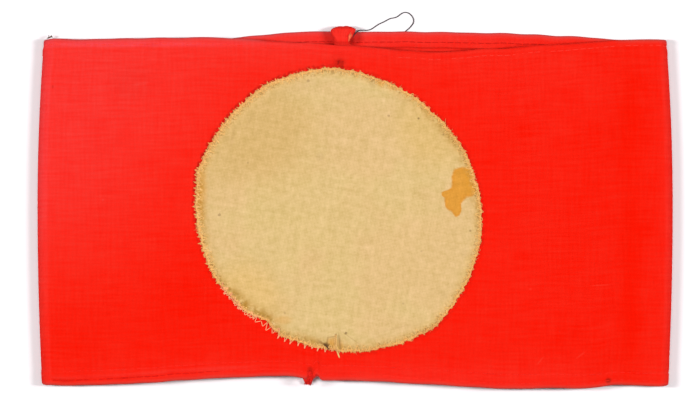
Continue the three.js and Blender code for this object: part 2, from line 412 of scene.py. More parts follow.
def redMaterial(name, darker=1.0):
    material, tree = newMaterial(name)
    place = placeIn(tree)
    weave = groupIn(tree, plainWeave, {
        "Vector": put(tree, "UVMap", uv_map="cloth").outputs[0], "Pitch": redCloth["pitch"],
        "Slub Width": redCloth["slubWidth"], "Upright": redCloth["upright"],
    }).outputs
    fadeAndFoldLight = carried(tree, "fadeAndFoldLight")
    cloud = calc(tree, "SUBTRACT", noiseAt(tree, place, 0.055, 4.0, 0.62), 0.5)
    patchy = calc(tree, "MULTIPLY_ADD", cloud, redCloth["patchy"], times(tree, fadeAndFoldLight, 0.656))
    for centre, direction, halfLength, halfWidth in redCloth["scratches"]:
        scratch = streakAt(tree, place, centre, direction, (halfLength, halfWidth), 0.8, 0.9, 0.5)
        patchy = calc(tree, "MULTIPLY_ADD", scratch, redCloth["patchy"], patchy)
    slub = calc(tree, "SUBTRACT", weave["Slub"], 0.5)
    streaks = calc(tree, "MULTIPLY_ADD", fadeAndFoldLight, 0.6, 0.40)
    streaky = calc(tree, "MULTIPLY_ADD", slub, streaks, patchy, clamp=True)
    colour = blendColours(tree, streaky, redCloth["deep"], redCloth["faded"])
    for centre, reach, strength in redCloth["soilSpotsAndHoleShade"]:
        spot = stainAt(tree, place, centre, reach, 1.2, 0.8, 0.6)
        colour = blendColours(tree, times(tree, spot, strength), colour, redCloth["soilAndShade"])
    # painted shade and soil just outside the patch's rim, smears in the lower hem's second row, and painted
    # shade where the hems turn over at the mouths
    fromRim = calc(tree, "SUBTRACT", rimReach, carried(tree, "rimNear"))
    ragged = ramp(tree, noiseAt(tree, place, 1.1, 2.0, 0.6), 0.34, 0.58)
    rimShadeSide = stainAt(tree, place, *redCloth["rimShadeSide"], 0.6, 0.1, 0.4)
    amount = calc(tree, "MULTIPLY_ADD", rimShadeSide, 0.52, 0.30)
    ring = times(tree, ramp(tree, fromRim, 1.7, 0.7), ragged, amount)
    colour = blendColours(tree, ring, colour, redCloth["soilAndShade"])
    smear = ramp(tree, noiseAt(tree, place, 0.9, 3.0, 0.6), 0.35, 0.65)
    colour = blendColours(tree, times(tree, carried(tree, "hemSoil"), smear, 0.5), colour, redCloth["soilAndShade"])
    colour = blendColours(tree, times(tree, carried(tree, "mouthEdgeShade"), 0.6), colour, redCloth["edge"])
    # the weave's grooves and slubs; the faded cloth's are bluer. A darker factor over 1 paints the cloth
    # lighter: painted light on the bunched seam
    shade = calc(tree, "MULTIPLY_ADD", weave["Groove"], -0.22, 1.06 * darker)
    green = times(tree, shade, calc(tree, "MULTIPLY_ADD", slub, 0.6, 1.0))
    blue = times(tree, green, calc(tree, "MULTIPLY_ADD", fadeAndFoldLight, 0.56, 0.58))
    dark = put(tree, "CombineColor", {0: shade, 1: green, 2: blue}).outputs[0]
    colour = blendColours(tree, 1.0, colour, dark, "MULTIPLY")
    height = calc(tree, "MULTIPLY_ADD", weave["Slub"], 0.9, weave["Height"])
    rough = calc(tree, "MULTIPLY_ADD", weave["Groove"], 0.1, 0.82)
    finishMaterial(
        tree, colour, height, 0.10, rough,
        Specular_IOR_Level=0.02, Sheen_Weight=0.015, Sheen_Roughness=0.5, Sheen_Tint=(1.0, 0.12, 0.08, 1),
    )
    return material


creamCloth = {
    "clean": (0.524, 0.366, 0.158, 1),
    "aged": (0.514, 0.365, 0.149, 1),
    "rosy": (0.530, 0.354, 0.156, 1),
    "paintedRimLight": (0.590, 0.385, 0.150, 1),    # painted light: a brighter strip along the rim that lifts the shade of its rounded edge
    "rim": (0.660, 0.290, 0.070, 1),       # painted reflection: the red cloth's light thrown onto the cut edge
    "grime": (0.345, 0.178, 0.025, 1),
    "ochre": (0.510, 0.205, 0.008, 1),
    "tide": (0.500, 0.180, 0.012, 1),      # the darker line at the stain's edge
    "speck": (0.090, 0.038, 0.010, 1),
    "fold": (0.240, 0.120, 0.028, 1),      # painted shade in the folds of the caught pleats and in wrinkles
    "fleckAndHoleShade": (0.260, 0.120, 0.025, 1),     # dark bits round the rim, and painted shade in the needle holes and between the stitches
    "tints": [                             # yellowed areas: place (mm), reach (mm), colour
        ((-33, 25), (20, 17), (0.490, 0.318, 0.120, 1)), ((26, 26), (13, 12), (0.522, 0.345, 0.130, 1)),
        ((-35, -30), (11, 11), (0.535, 0.350, 0.130, 1)),
    ],
    "pitch": 0.46,                         # mm from thread to thread
    "slubWidth": 0.9,
    "turned": 8.0,                         # degrees from the red cloth's weave to this one's
    "ochreOvals": [                        # the stain's parts: place (mm), reach (mm)
        ((33.6, 9.3), (3.3, 3.5)), ((35.6, 10.0), (3.2, 2.6)), ((34.2, 6.6), (3.3, 3.8)),
        ((31.7, 3.4), (3.0, 3.2)), ((29.1, 4.1), (1.9, 1.2)), ((30.6, 1.2), (2.4, 2.6)),
        ((32.2, -0.6), (1.5, 2.6)), ((37.6, 8.8), (2.6, 3.4)), ((36.4, 5.8), (2.4, 2.4)),
    ],
    "blots": [                             # faint ochre: place (mm), reach (mm), strength
        ((-7.1, -42.8), (1.5, 1.4), 0.45), ((-4.6, -44.5), (0.9, 2.4), 0.22),
        ((8.3, 39.8), (1.3, 1.5), 0.55), ((-22.6, -35.8), (2.6, 1.2), 0.25),
        ((-49.3, 7.0), (2.2, 6.0), 0.28), ((-48.8, 0.5), (1.8, 5.0), 0.15),
        ((12.6, 37.9), (2.2, 0.9), 0.35),
    ],
    "folds": [                             # painted shade of the pleats' folds and of wrinkles: place, direction (degrees), half length and width, strength
        ((-4.8, -43.9), 97, 3.3, 0.26, 0.55), ((-8.8, -42.4), 80, 1.4, 0.25, 0.5),
        ((-7.5, -41.1), 10, 1.3, 0.22, 0.4), ((-9.7, -43.9), -40, 2.3, 0.5, 0.8),
        ((-7.5, -44.2), -40, 2.3, 0.2, 0.5), ((-1.6, -41.3), -35, 3.4, 0.15, 0.3),
        ((-36.0, 31.5), 30, 4.5, 0.45, 0.12), ((-38.8, 22.0), 80, 3.4, 0.5, 0.14),
        ((-33.5, 27.0), 62, 3.0, 0.4, 0.10), ((12.0, -38.5), 12, 5.0, 0.4, 0.10),
        ((-16.0, 38.0), 20, 4.0, 0.4, 0.08),
    ],
    "specks": [                            # place (mm), reach (mm), strength
        ((10.6, 28.9), 0.36, 0.4), ((-14.8, 40.0), 0.45, 0.35), ((5.6, 39.1), 1.2, 0.14),
        ((-34.0, 14.0), 0.3, 0.25), ((-22.3, -33.5), 0.35, 0.25), ((27.9, 22.9), 0.3, 0.3),
        ((15.2, -30.6), 0.3, 0.25), ((-9.3, -44.2), 1.1, 0.95), ((-7.8, -45.3), 0.6, 0.85),
        ((-2.9, -39.9), 0.4, 0.6), ((36.5, -7.5), 0.35, 0.4),
        ((20.1, 28.1), 0.34, 0.6), ((-43.0, -2.5), 0.45, 0.4), ((-11.1, 15.9), 1.2, 0.10),
        ((21.0, -14.0), 0.3, 0.2),
    ],
}


def creamMaterial(name):
    material, tree = newMaterial(name)
    place = placeIn(tree)
    turn = (0, 0, math.radians(creamCloth["turned"]))
    turned = put(tree, "Mapping", {"Vector": place, "Rotation": turn}).outputs[0]
    flatPlace = put(tree, "VectorMath", {0: turned, 1: (1, 1, 0)}, operation="MULTIPLY").outputs[0]
    weave = groupIn(tree, plainWeave, {
        "Vector": flatPlace, "Pitch": creamCloth["pitch"], "Slub Width": creamCloth["slubWidth"],
    }).outputs
    inside = carried(tree, "rimDistance")
    # age: broad tints, the painted light of the brighter strip along the rim, and the rim's dirt
    cloud = noiseAt(tree, place, 0.09, 4.0, 0.6)
    colour = blendColours(tree, ramp(tree, cloud, 0.30, 0.70), creamCloth["clean"], creamCloth["aged"])
    blush = ramp(tree, noiseAt(tree, place, 0.05, 2.0, 0.5), 0.42, 0.62)
    colour = blendColours(tree, blush, colour, creamCloth["rosy"])
    for centre, reach, tint in creamCloth["tints"]:
        colour = blendColours(tree, stainAt(tree, place, centre, reach, 1.0, 0.07, 0.5), colour, tint)
    colour = blendColours(tree, times(tree, ramp(tree, inside, 3.8, 1.8), 0.5), colour, creamCloth["paintedRimLight"])
    blotch = noiseAt(tree, place, 0.42, 5.0, 0.66)
    dirty = calc(tree, "MULTIPLY", carried(tree, "grime"), ramp(tree, blotch, 0.28, 0.60), clamp=True)
    colour = blendColours(tree, dirty, colour, creamCloth["grime"])
    # the ochre stain: ovals that flow together, washed out towards the rim, with a darker line at its edge
    distance = None
    for centre, reach in creamCloth["ochreOvals"]:
        oval = stainAt(tree, place, centre, reach, 0.42, 0.5, 0.1, "Distance")
        distance = oval if distance is None else calc(tree, "SMOOTH_MIN", distance, oval, 0.6)
    ochre = ramp(tree, distance, 1.07, 0.78)
    bentInside = calc(tree, "MULTIPLY_ADD", calc(tree, "SUBTRACT", blotch, 0.5), 4.0, inside)
    soaked = calc(tree, "MULTIPLY_ADD", ramp(tree, bentInside, 0.2, 2.8), 0.36, 0.52)
    colour = blendColours(tree, times(tree, ochre, soaked), colour, creamCloth["ochre"])
    tide = times(tree, ochre, ramp(tree, distance, 0.45, 0.9), ramp(tree, inside, 0.2, 2.6), 0.35)
    colour = blendColours(tree, tide, colour, creamCloth["tide"])
    # dark bits and painted shade in the needle holes and between the stitches, blots, painted shade in the
    # folds, specks, and the painted red reflection on the cut edge
    bits = ramp(tree, noiseAt(tree, place, 1.2, 2.0, 0.7), 0.53, 0.61)
    fleckAndHoleShade = times(tree, bits, nearZero(tree, inside, 3.2), ramp(tree, inside, 0.0, 0.5), 0.9)
    colour = blendColours(tree, fleckAndHoleShade, colour, creamCloth["fleckAndHoleShade"])
    for centre, reach, strength in creamCloth["blots"]:
        spot = stainAt(tree, place, centre, reach, 0.9, 0.7, 0.5)
        colour = blendColours(tree, times(tree, spot, strength), colour, creamCloth["ochre"])
    for centre, direction, halfLength, halfWidth, strength in creamCloth["folds"]:
        shadow = streakAt(tree, place, centre, direction, (halfLength, halfWidth), 0.5, 0.6, 0.6)
        colour = blendColours(tree, times(tree, shadow, strength), colour, creamCloth["fold"])
    for centre, reach, strength in creamCloth["specks"]:
        spot = stainAt(tree, place, centre, (reach, reach), 1.4, 1.6, 0.5)
        colour = blendColours(tree, times(tree, spot, strength), colour, creamCloth["speck"])
    colour = blendColours(tree, times(tree, ramp(tree, inside, 1.2, 0.1), 0.5), colour, creamCloth["rim"])
    # the weave's grooves and slubs, and a soft mottle
    mottle = calc(tree, "SUBTRACT", noiseAt(tree, place, 0.5, 4.0, 0.7), 0.5)
    slub = calc(tree, "MULTIPLY_ADD", calc(tree, "SUBTRACT", weave["Slub"], 0.5), 0.42, 1.08)
    grooved = calc(tree, "MULTIPLY_ADD", weave["Groove"], -0.22, slub)
    shade = calc(tree, "MULTIPLY_ADD", mottle, 0.44, grooved)
    dark = put(tree, "CombineColor", {0: shade, 1: shade, 2: times(tree, shade, shade)}).outputs[0]
    colour = blendColours(tree, 1.0, colour, dark, "MULTIPLY")
    fuzz = noiseAt(tree, place, 2.6, 3.0, 0.7)
    height = calc(tree, "MULTIPLY_ADD", weave["Slub"], 0.9, weave["Height"])
    height = calc(tree, "MULTIPLY_ADD", fuzz, times(tree, nearZero(tree, inside, 2.5), 1.5), height)
    finishMaterial(
        tree, colour, height, 0.11, 0.9,
        Specular_IOR_Level=0.12, Sheen_Weight=0.1, Sheen_Roughness=0.6, Sheen_Tint=(1.0, 0.92, 0.78, 1),
    )
    return material


def threadMaterial(name, colour, pitch, roughness=0.7):
    material, tree = newMaterial(name)
    height = groupIn(tree, threadTwist, {"Pitch": pitch}).outputs[0]
    uneven = noiseAt(tree, placeIn(tree), 0.9, 3.0, 0.6)
    shade = calc(tree, "MULTIPLY_ADD", height, 0.28, calc(tree, "MULTIPLY_ADD", uneven, 0.3, 0.66))
    dark = put(tree, "CombineColor", {0: shade, 1: shade, 2: shade}).outputs[0]
    mixed = blendColours(tree, 1.0, (*colour, 1), dark, "MULTIPLY")
    finishMaterial(tree, mixed, height, 0.04, roughness, Specular_IOR_Level=0.08)
    return material


redCotton = redMaterial("redCotton")
# the same red cloth painted 7% lighter for the bunched seam: painted light that lifts the shade on it
redCottonSeamLit = redMaterial("redCottonSeamLit", darker=1.07)
creamCotton = creamMaterial("creamCotton")
creamThread = threadMaterial("creamThread", (0.70, 0.415, 0.146), 0.55)
clothThread = threadMaterial("clothThread", (0.725, 0.43, 0.142), 0.55)
rimFibre = threadMaterial("rimFibre", (0.745, 0.395, 0.122), 0.55)
paleThread = threadMaterial("paleThread", (0.80, 0.35, 0.18), 0.55)
fringeFibre = threadMaterial("fringeFibre", (0.78, 0.30, 0.11), 0.9, 0.85)
ochreFibre = threadMaterial("ochreFibre", (0.76, 0.15, 0.065), 0.9, 0.85)
redThread = threadMaterial("redThread", (0.72, 0.017, 0.009), 0.55)
fadedThread = threadMaterial("fadedThread", (0.76, 0.036, 0.022), 0.55)
foldThread = threadMaterial("foldThread", (0.46, 0.006, 0.003), 0.55)
soiledThread = threadMaterial("soiledThread", (0.56, 0.005, 0.0015), 0.55)
redFray = threadMaterial("redFray", (0.66, 0.012, 0.007), 0.9, 0.85)
darkThread = threadMaterial("darkThread", (0.085, 0.040, 0.022), 0.5)
soilFibre = threadMaterial("soilFibre", (0.340, 0.008, 0.004), 0.5)
print("materials made")


# The band

band = {
    "halfWidth": bandHigh.x / mm,
    "cornerDraw": (2.2, 1.4),    # how much each side fold draws in at the upper and the lower mouth
    "mouthReach": 55.0,          # y at which the folds have drawn in by that much
    "foldHeight": 6.0,
    "crown": 2.6,                # how far the front springs up past the folds
    "crownRun": 0.35,            # share of the half width over which it rises
    "cloth": 1.0,
    "mouthToMouth": 109.0,       # the cloth's plain height, for the weave
    "hemCloth": 1.8,
    "hemDepth": 5.0,
    "hemStep": 0.5,
    "hemRowsReach": 8.0,         # how far in from a mouth the rows lie closer together
    "hemReach": 16.0,            # how far in from a mouth the hem can be felt
    "tipReach": 0.6,             # how far the mouth's edge is rounded
    "groove": 0.30,              # depth of a sewing line on the inner face
    "grooveTop": 0.20, "grooveBottom": 0.14,   # the same on the outer face
    "puff": 0.14,                # how far the turned hem swells out beside it
    "stitchPitch": 2.45,
    "backSteps": 190, "foldSteps": 14, "frontSteps": 290, "notchSteps": 24, "hemRows": 17, "fieldRows": 56,
}
# Each layer's edge along the two mouths, in mm: rows are x, and the y of the front's and the back's edge
mouth = {
    "x": [-98, -80, -60, -44, -36, -28, -22, -13, 4, 15, 25, 40, 52, 66, 80, 87, 98],
    "frontTop": [
        53.4, 53.4, 53.7, 53.7, 53.3, 52.6, 52.3, 52.0, 50.9, 49.9, 49.3, 49.9, 50.8, 51.5, 52.4, 53.0, 53.3,
    ],
    "backTop": [
        53.3, 52.9, 52.9, 53.6, 54.5, 55.2, 55.6, 56.0, 56.0, 55.9, 55.9, 55.6, 55.4, 54.7, 54.0, 53.4, 53.1,
    ],
    "frontBottom": [
        -56.7, -56.3, -55.2, -54.2, -53.9, -53.7, -53.6, -54.9, -55.1,
        -55.7, -56.4, -57.2, -57.6, -57.5, -57.4, -56.5, -57.0,
    ],
    "backBottom": [
        -56.2, -55.8, -54.6, -53.8, -53.6, -53.1, -52.9, -53.0, -53.9,
        -54.6, -55.0, -55.5, -55.8, -56.0, -56.1, -56.1, -56.7,
    ],
}
# Sewing lines of the hems: x, and the distance from the mouth. The lower hem has a second row, nearer
# to its edge.
sewing = {
    "x": [-98, -60, -20, 30, 60, 75, 92, 98],
    "Top": [1.85, 2.05, 2.3, 2.35, 2.2, 2.0, 1.9, 1.9],
    "Bottom": [4.6, 4.8, 4.8, 4.7, 4.5, 4.3, 4.0, 4.0],
    "Again": [1.6, 2.2, 2.2, 1.8, 1.7, 1.7, 1.7, 1.7],
    "backMore": 1.0,          # how much further in the lines run on the back
    "soiledTo": -42.0,        # x up to which the lower hem's second row is dark
    "unfaded": (-36, 14),     # x between which the front's upper stitches kept their red
}
# Soft swells of the front: x, y, reach along x and y, height
swells = [
    (-26, -55, 20, 20, 0.6), (62, -58, 30, 16, 0.6), (-70, 42, 22, 26, 0.4), (74, 14, 12, 50, 0.3),
    (-4, 56, 20, 12, -0.7),
]
# Old pressed creases up the front, beside the folds: x, y of the middle, half length, half width, depth
creases = [
    (88.6, -28, 34, 2.4, 0.32), (88.0, 34, 16, 2.8, 0.16),
    (-95.2, -4, 42, 1.1, 0.12), (93.4, 6, 44, 1.2, 0.1),
]
notch = {"x": -12.6, "halfWidth": 0.95, "depth": 1.5}   # where the lower edge frayed away beside the tuft
patchMiddle = ((patchLow.x + patchHigh.x) / 2 / mm, (patchLow.y + patchHigh.y) / 2 / mm)
foldRadius = band["foldHeight"] / 2
flatRun = 2 * (band["halfWidth"] - foldRadius)
bendRun = math.pi * foldRadius
legEnds = np.cumsum([0, flatRun, bendRun, flatRun, bendRun])   # mm run round the loop at turns 0 to 4


def halfWidthAt(y):
    draw = np.where(np.asarray(y) > 0, *band["cornerDraw"])
    return band["halfWidth"] - draw * (y / band["mouthReach"]) ** 2


# How much of the crown is there: 0 at the folds, 1 over the middle
def springAt(x, y):
    return ease(1 - np.abs(x) / (halfWidthAt(y) - foldRadius), 0, band["crownRun"])


patchShape = {
    "radius": 45.0,
    # how the sewing pulled it out of round: number of bulges, mm, and the direction of one of them in degrees
    "pulls": [(2, 1.44, 141.0), (3, 0.33, -40.0), (4, 0.15, 22.0), (5, 0.19, 20.0)],
    # direction and reach in degrees, mm
    "dents": [
        (310, 8, 0.8), (237, 5, -1.7), (225, 14, -0.45), (183, 18, -0.85), (290, 10, -0.35), (345, 12, 0.55),
        (4, 8, -0.4), (60, 12, 0.45), (152, 14, -0.25), (165, 4, 0.95), (208, 6, 0.45), (357, 7, 0.35),
        (31, 6, 0.3), (68, 5, -0.35), (80, 6, 0.2), (250, 16, -0.4), (328, 8, -0.25), (225, 8, -0.2),
        (15, 4, 0.3),
    ],
    "thick": 0.85, "lift": 0.06,
    "shapedRim": 6.0,         # mm inside the rim where the rows of points start to grow rounder
    "sectors": 480, "faceRows": 64, "edgeRows": 7,
}


# Distance and direction of a point from the patch's middle
def polar(x, y):
    offX, offY = x - patchMiddle[0], y - patchMiddle[1]
    return np.hypot(offX, offY), np.arctan2(offY, offX)


# The point at a distance and direction from the patch's middle
def planar(away, angle):
    return patchMiddle[0] + away * np.cos(angle), patchMiddle[1] + away * np.sin(angle)


# Radius of the patch in each direction: an oval with slighter pulls, dents, and the ragged cut
def patchRadiusAt(angle):
    radius = patchShape["radius"] + 0 * angle
    for bulges, amount, direction in patchShape["pulls"]:
        radius = radius + amount * np.cos(bulges * (angle - math.radians(direction)))
    for direction, reach, amount in patchShape["dents"]:
        radius = radius + amount * bellRound(np.degrees(angle), direction, reach)
    circle = np.cos(angle) * patchShape["radius"], np.sin(angle) * patchShape["radius"]
    return radius + 0.15 * ripples(*circle, 11.0, 31) + 0.13 * ripples(*circle, 2.4, 32)


# Small relief of the front's cloth: slack, old creases, and the cloth drawn in along the patch's stitches
def frontRelief(x, y):
    relief = 0.16 * ripples(x, y, 34, 5) + 0.045 * ripples(x, y, 11, 6)
    for creaseX, creaseY, halfLength, halfAcross, depth in creases:
        bend = creaseX + 0.5 * ripples(0, y, 40, 8)
        relief = relief - depth * bell(x - bend, halfAcross) * bell((y - creaseY) / halfLength, 1.0)
    away, angle = polar(x, y)
    outside = away - patchRadiusAt(angle)
    pucker = ripples(angle * patchShape["radius"], outside * 0.25, 7.0, 9)
    return relief - 0.22 * bell(outside - 0.4, 1.6) + 0.10 * pucker * bell(outside, 5.0)


def frontHeight(x, y):
    spring = springAt(x, y)
    height = band["foldHeight"] + band["crown"] * spring
    for *place, rise in swells:
        height = height + rise * spring * hill(x, y, *place)
    return height + frontRelief(x, y) * ease(spring, 0.0, 0.35)


# A point of the wall, depth mm under its outer face. turn runs 0 to 4: back, right fold, front, left
# fold. The back is flat, each fold is half a circle and the front is the height field above.
def wallAt(turn, y, depth):
    turn, y, depth = np.broadcast_arrays(turn, y, depth)
    run = np.floor(turn).astype(int) % 4
    along = turn - np.floor(turn)
    flat = halfWidthAt(y) - foldRadius
    straight = flat * (2 * along - 1)
    radius = foldRadius - depth
    climb = np.where(run == 1, along, 1 - along)
    angle = np.pi * (climb - 0.5)
    side = np.where(run == 1, 1.0, -1.0)
    x = np.select([run == 0, run == 2], [straight, -straight], side * (flat + radius * np.cos(angle)))
    z = np.select(
        [run == 0, run == 2],
        [depth, frontHeight(-straight, y) - depth],
        foldRadius + radius * np.sin(angle),
    )
    return np.stack([x, y, z], -1)


# Where a turn is: x on the plain loop, and the share of the front there, 1 on the front and 0 on the back
def placeOnLoop(turn):
    run = np.floor(turn).astype(int) % 4
    along = turn - np.floor(turn)
    legs = [run == 0, run == 1, run == 2]
    x = band["halfWidth"] * np.select(legs, [2 * along - 1, 1, 1 - 2 * along], -1)
    return x, np.select(legs, [0 * along, along, 0 * along + 1], 1 - along)


# y of one mouth's edge at a turn; round a fold it passes from one layer's edge to the other's
def edgeAt(turn, end):
    x, frontShare = placeOnLoop(turn)
    back = through(x, mouth["x"], mouth["back" + end])
    front = through(x, mouth["x"], mouth["front" + end])
    wobble = 0.09 * ripples(x, 20 * frontShare, 13, 12 if end == "Top" else 13)
    frayed = notch["depth"] * bell(x - notch["x"], notch["halfWidth"]) * (frontShare == 1) * (end == "Bottom")
    return back + (front - back) * frontShare + wobble + frayed


# Distance run round the loop at a turn, in mm
def runLength(turn):
    return np.interp(turn, range(5), legEnds)


# Distance of a hem's sewing line from the mouth at a turn
def sewingAt(turn, line):
    x, frontShare = placeOnLoop(turn)
    return through(x, sewing["x"], sewing[line]) + sewing["backMore"] * (1 - frontShare)


# How far the outer face stands out near a mouth: the hem swells up to its sewing line, which is drawn
# in, more at each stitch, and slanting puckers run off it
def hemRelief(distance, line, around, groove, seed):
    inside = np.clip(distance / line, 0, 1)
    swell = band["puff"] * np.sin(np.pi * inside) ** 0.7
    stitches = 0.8 + 0.2 * np.cos(2 * np.pi * around / band["stitchPitch"])
    sunk = groove * bell(distance - line, 0.42) * stitches
    step = 0.10 * (1 - ease(distance, band["hemDepth"] - 0.3, band["hemDepth"] + 0.7)) * (distance > line)
    puckers = ripples(around - 0.8 * distance, 0.12 * distance, 5.5, seed) * bell(distance - line, 3.2)
    return swell - sunk + step + 0.075 * puckers


# The wall's outline once round, from the lower mouth over the outer face to the upper one and back
# inside. Each row has its share of the way between the mouths, a distance added to that, its depth, and
# which face it is on.
def wallOutline():
    tip = band["hemCloth"] / 2
    reach = band["hemRowsReach"]
    hem = np.linspace(band["tipReach"], reach, band["hemRows"])
    field = np.linspace(0, 1, band["fieldRows"] + 2)[1:-1]
    arc = np.linspace(0, np.pi, 11)[1:-1]
    hemIn = np.linspace(band["tipReach"], band["hemDepth"], 8)
    step = band["hemDepth"] + band["hemStep"] * np.array([0.35, 1.0])
    stepDepth = band["cloth"] + 0.25
    fieldIn = np.linspace(0, 1, 32)[1:-1]
    rows = [(0, d, 0, 1) for d in hem]
    rows += [(s, reach * (1 - 2 * s), 0, 1) for s in field]
    rows += [(1, -d, 0, 1) for d in hem[::-1]]
    rows += [(1, band["tipReach"] * (math.sin(a) ** 0.8 - 1), tip * (1 - math.cos(a)), 0) for a in arc]
    rows += [(1, -d, band["hemCloth"], -1) for d in hemIn]
    rows += [(1, -step[0], stepDepth, 0), (1, -step[1], band["cloth"], -1)]
    rows += [(s, step[1] * (1 - 2 * s), band["cloth"], -1) for s in fieldIn[::-1]]
    rows += [(0, step[1], band["cloth"], -1), (0, step[0], stepDepth, 0)]
    rows += [(0, d, band["hemCloth"], -1) for d in hemIn[::-1]]
    rows += [(0, band["tipReach"] * (1 - math.sin(a) ** 0.8), tip * (1 + math.cos(a)), 0) for a in arc]
    return np.array(rows, float).T


# The seam that closes the loop, as it runs up the back, and the sewn ends that stand inside it, in mm
seam = {
    "y": [-56.2, -54.6, -53.7, -52.2, -48.8, -46.4, 0, 46.8, 50, 51.6, 52.6, 53.6, 54.8, 56.0, 57.0, 57.5],
    "x": [
        -15.2, -15.2, -15.2, -15.1, -14.8, -14.6, -9.4, -4.6, -4.2, -4.0, -3.9, -3.9, -3.9, -3.8, -3.7, -3.7,
    ],
    "width": [1.6, 3.2, 5.0, 7.0, 7.6, 7.6, 7.6, 7.6, 7.0, 6.0, 5.8, 6.2, 7.2, 8.0, 7.7, 6.6],
    "base": [1.2, 1.0, 0.9, 1.9, 1.9, 1.1, 1.1, 1.1, 1.9, 1.9, 1.9, 1.9, 1.9, 1.8, 1.7, 2.2],
    "top": [2.2, 3.0, 3.4, 3.8, 3.8, 3.0, 3.0, 3.0, 4.2, 5.4, 6.8, 7.2, 6.7, 6.0, 5.2, 4.2],
    "lineOffset": 2.6,        # from the middle of the strip's ends to the sewn line in the back
    "fadeAndFoldLight": 0.62,
    "rows": 130, "sides": 40,
}


def seamLineX(y):
    return through(y, seam["y"], seam["x"]) + seam["lineOffset"]


# Stations along the front, closer together beside the notch
def frontTurns():
    even = 2 + np.linspace(0, 1, band["frontSteps"], endpoint=False)
    x = np.linspace(notch["x"] + 2.6, notch["x"] - 2.6, band["notchSteps"])
    return np.sort(np.concatenate([even, 2.5 - x / (2 * (halfWidthAt(-55.0) - foldRadius))]))


# How faded the red is, 0 to 1: x, y, reach along x and y, amount of each pale or dark area. The pale strips
# at x of -101 and 101 are painted light on the side folds' curves.
paleAreasAndFoldLight = [
    (-90, 50, 60, 38, 0.66), (-95, 5, 30, 28, 0.38), (-101, 0, 3.5, 70, 0.26), (101, 10, 4, 80, 0.20),
    (-10, 55, 45, 9, 0.42), (55, 45, 35, 18, 0.16), (50, 56, 50, 4, 0.30), (20, -54, 60, 4.5, 0.22),
    (-70, 51.5, 34, 0.8, 0.85), (-70, 50.1, 34, 0.6, -0.12), (-60, -53, 40, 4.5, 0.14),
    (-58, -28, 34, 18, -0.05), (87.5, -28, 3.4, 30, -0.16), (87, 32, 4, 22, -0.10),
]


def fadeAndFoldLightAt(x, y):
    faded = np.full(np.shape(x), 0.16)
    for *place, amount in paleAreasAndFoldLight:
        faded = faded + amount * hill(x, y, *place)
    return np.clip(faded, 0, 1.5)


# What the red cloth shows at each point: how faded it is, with painted light on the side folds, how near the
# patch's rim, how soiled along the lower hem's second row, and the painted shade at the mouths' edges
def bandWearLightAndShade(x, y, turns, fromBottom, fromTop, again):
    leg = np.floor(turns).astype(int)[:, None]
    onFront = leg == 2
    onFolds = (leg == 1) | (leg == 3)
    ridge = 0.30 * onFront * ease(-x, 20, 40) * bell(fromBottom - again - 0.95, 0.45)
    away, angle = polar(x, y)
    fromRim = np.clip(away - patchRadiusAt(angle), -rimReach, rimReach)
    soiled = onFront * ease(-x, 36, 56) * (0.55 + 0.45 * np.clip(ripples(x, 0, 9, 23), -1, 1))
    cornerSoil = onFront * bell(x + 91.5, 4)
    # the front's upper edge gets this painted shade only where it isn't over the back
    overBack = onFront * ease(x, -34, -26) * ease(-x, -88, -80)
    return {
        # the side folds are painted paler: painted light on their curves
        "fadeAndFoldLight": (fadeAndFoldLightAt(x, y) + 0.18 * onFolds + ridge)[None],
        "rimNear": np.where(onFront, rimReach - fromRim, 0)[None],
        "hemSoil": ((0.35 * soiled + 0.65 * cornerSoil) * bell(fromBottom - again, 0.55))[None],
        "mouthEdgeShade": (bell(fromTop - 0.1, 0.85) * (1 - overBack) + 0.8 * bell(fromBottom - 0.1, 0.85))[None],
    }


# The wall carried round the loop. Its faces stand out at the hems and are drawn in along the sewing
# lines and the seam.
def makeBand():
    share, shift, depth, face = wallOutline()
    turns = np.concatenate([
        np.linspace(0, 1, band["backSteps"], endpoint=False),
        1 + np.linspace(0, 1, band["foldSteps"], endpoint=False),
        frontTurns(),
        3 + np.linspace(0, 1, band["foldSteps"], endpoint=False),
    ])
    bottom, top = edgeAt(turns, "Bottom")[:, None], edgeAt(turns, "Top")[:, None]
    y = bottom + (top - bottom) * share + shift
    around = runLength(turns)[:, None]
    fromBottom, fromTop = y - bottom, top - y
    lineBottom, lineTop, again = (sewingAt(turns, line)[:, None] for line in ("Bottom", "Top", "Again"))
    reach = band["hemReach"]
    stand = hemRelief(fromBottom, lineBottom, around, band["grooveBottom"], 21) * (fromBottom < reach)
    stand = stand + hemRelief(fromTop, lineTop, around, band["grooveTop"], 22) * (fromTop < reach)
    drawn = band["groove"] * (bell(fromBottom - lineBottom, 0.5) + bell(fromTop - lineTop, 0.5))
    offset = np.where(face > 0, -stand, np.where(face < 0, -drawn, 0))
    points = wallAt(turns[:, None], y, depth + offset)
    onFront = (np.floor(turns) == 2)[:, None]
    onBack = (turns < 1)[:, None]
    second = bell(fromBottom - again, 0.4) * (0.10 + 0.16 * (points[..., 0] < sewing["soiledTo"]))
    points[..., 2] -= np.where((face > 0) & onFront, second, 0)
    line = bell(points[..., 0] - seamLineX(y), 0.55) * onBack
    points[..., 2] += np.where(face > 0, 0.45 * line, np.where(face < 0, 0.15 * line, 0))
    points[..., 2] = np.maximum(points[..., 2], 0)
    plain = np.stack([share * band["mouthToMouth"] + shift, depth], -1)
    legs = np.linalg.norm(np.diff(np.concatenate([plain, plain[:1]]), axis=0), axis=-1)
    across = np.concatenate([[0], legs.cumsum()])
    along = np.concatenate([runLength(turns), legEnds[-1:]])
    cloth = np.stack(np.broadcast_arrays(along[:, None], across[None, :]), -1)[None]
    layers = bandWearLightAndShade(points[..., 0], points[..., 1], turns, fromBottom, fromTop, again)
    return closedMesh("bandCloth", points[None], looped=True, cloth=cloth, layers=layers)


bandCloth = wear(makeBand(), redCotton, "band_cloth", "band")


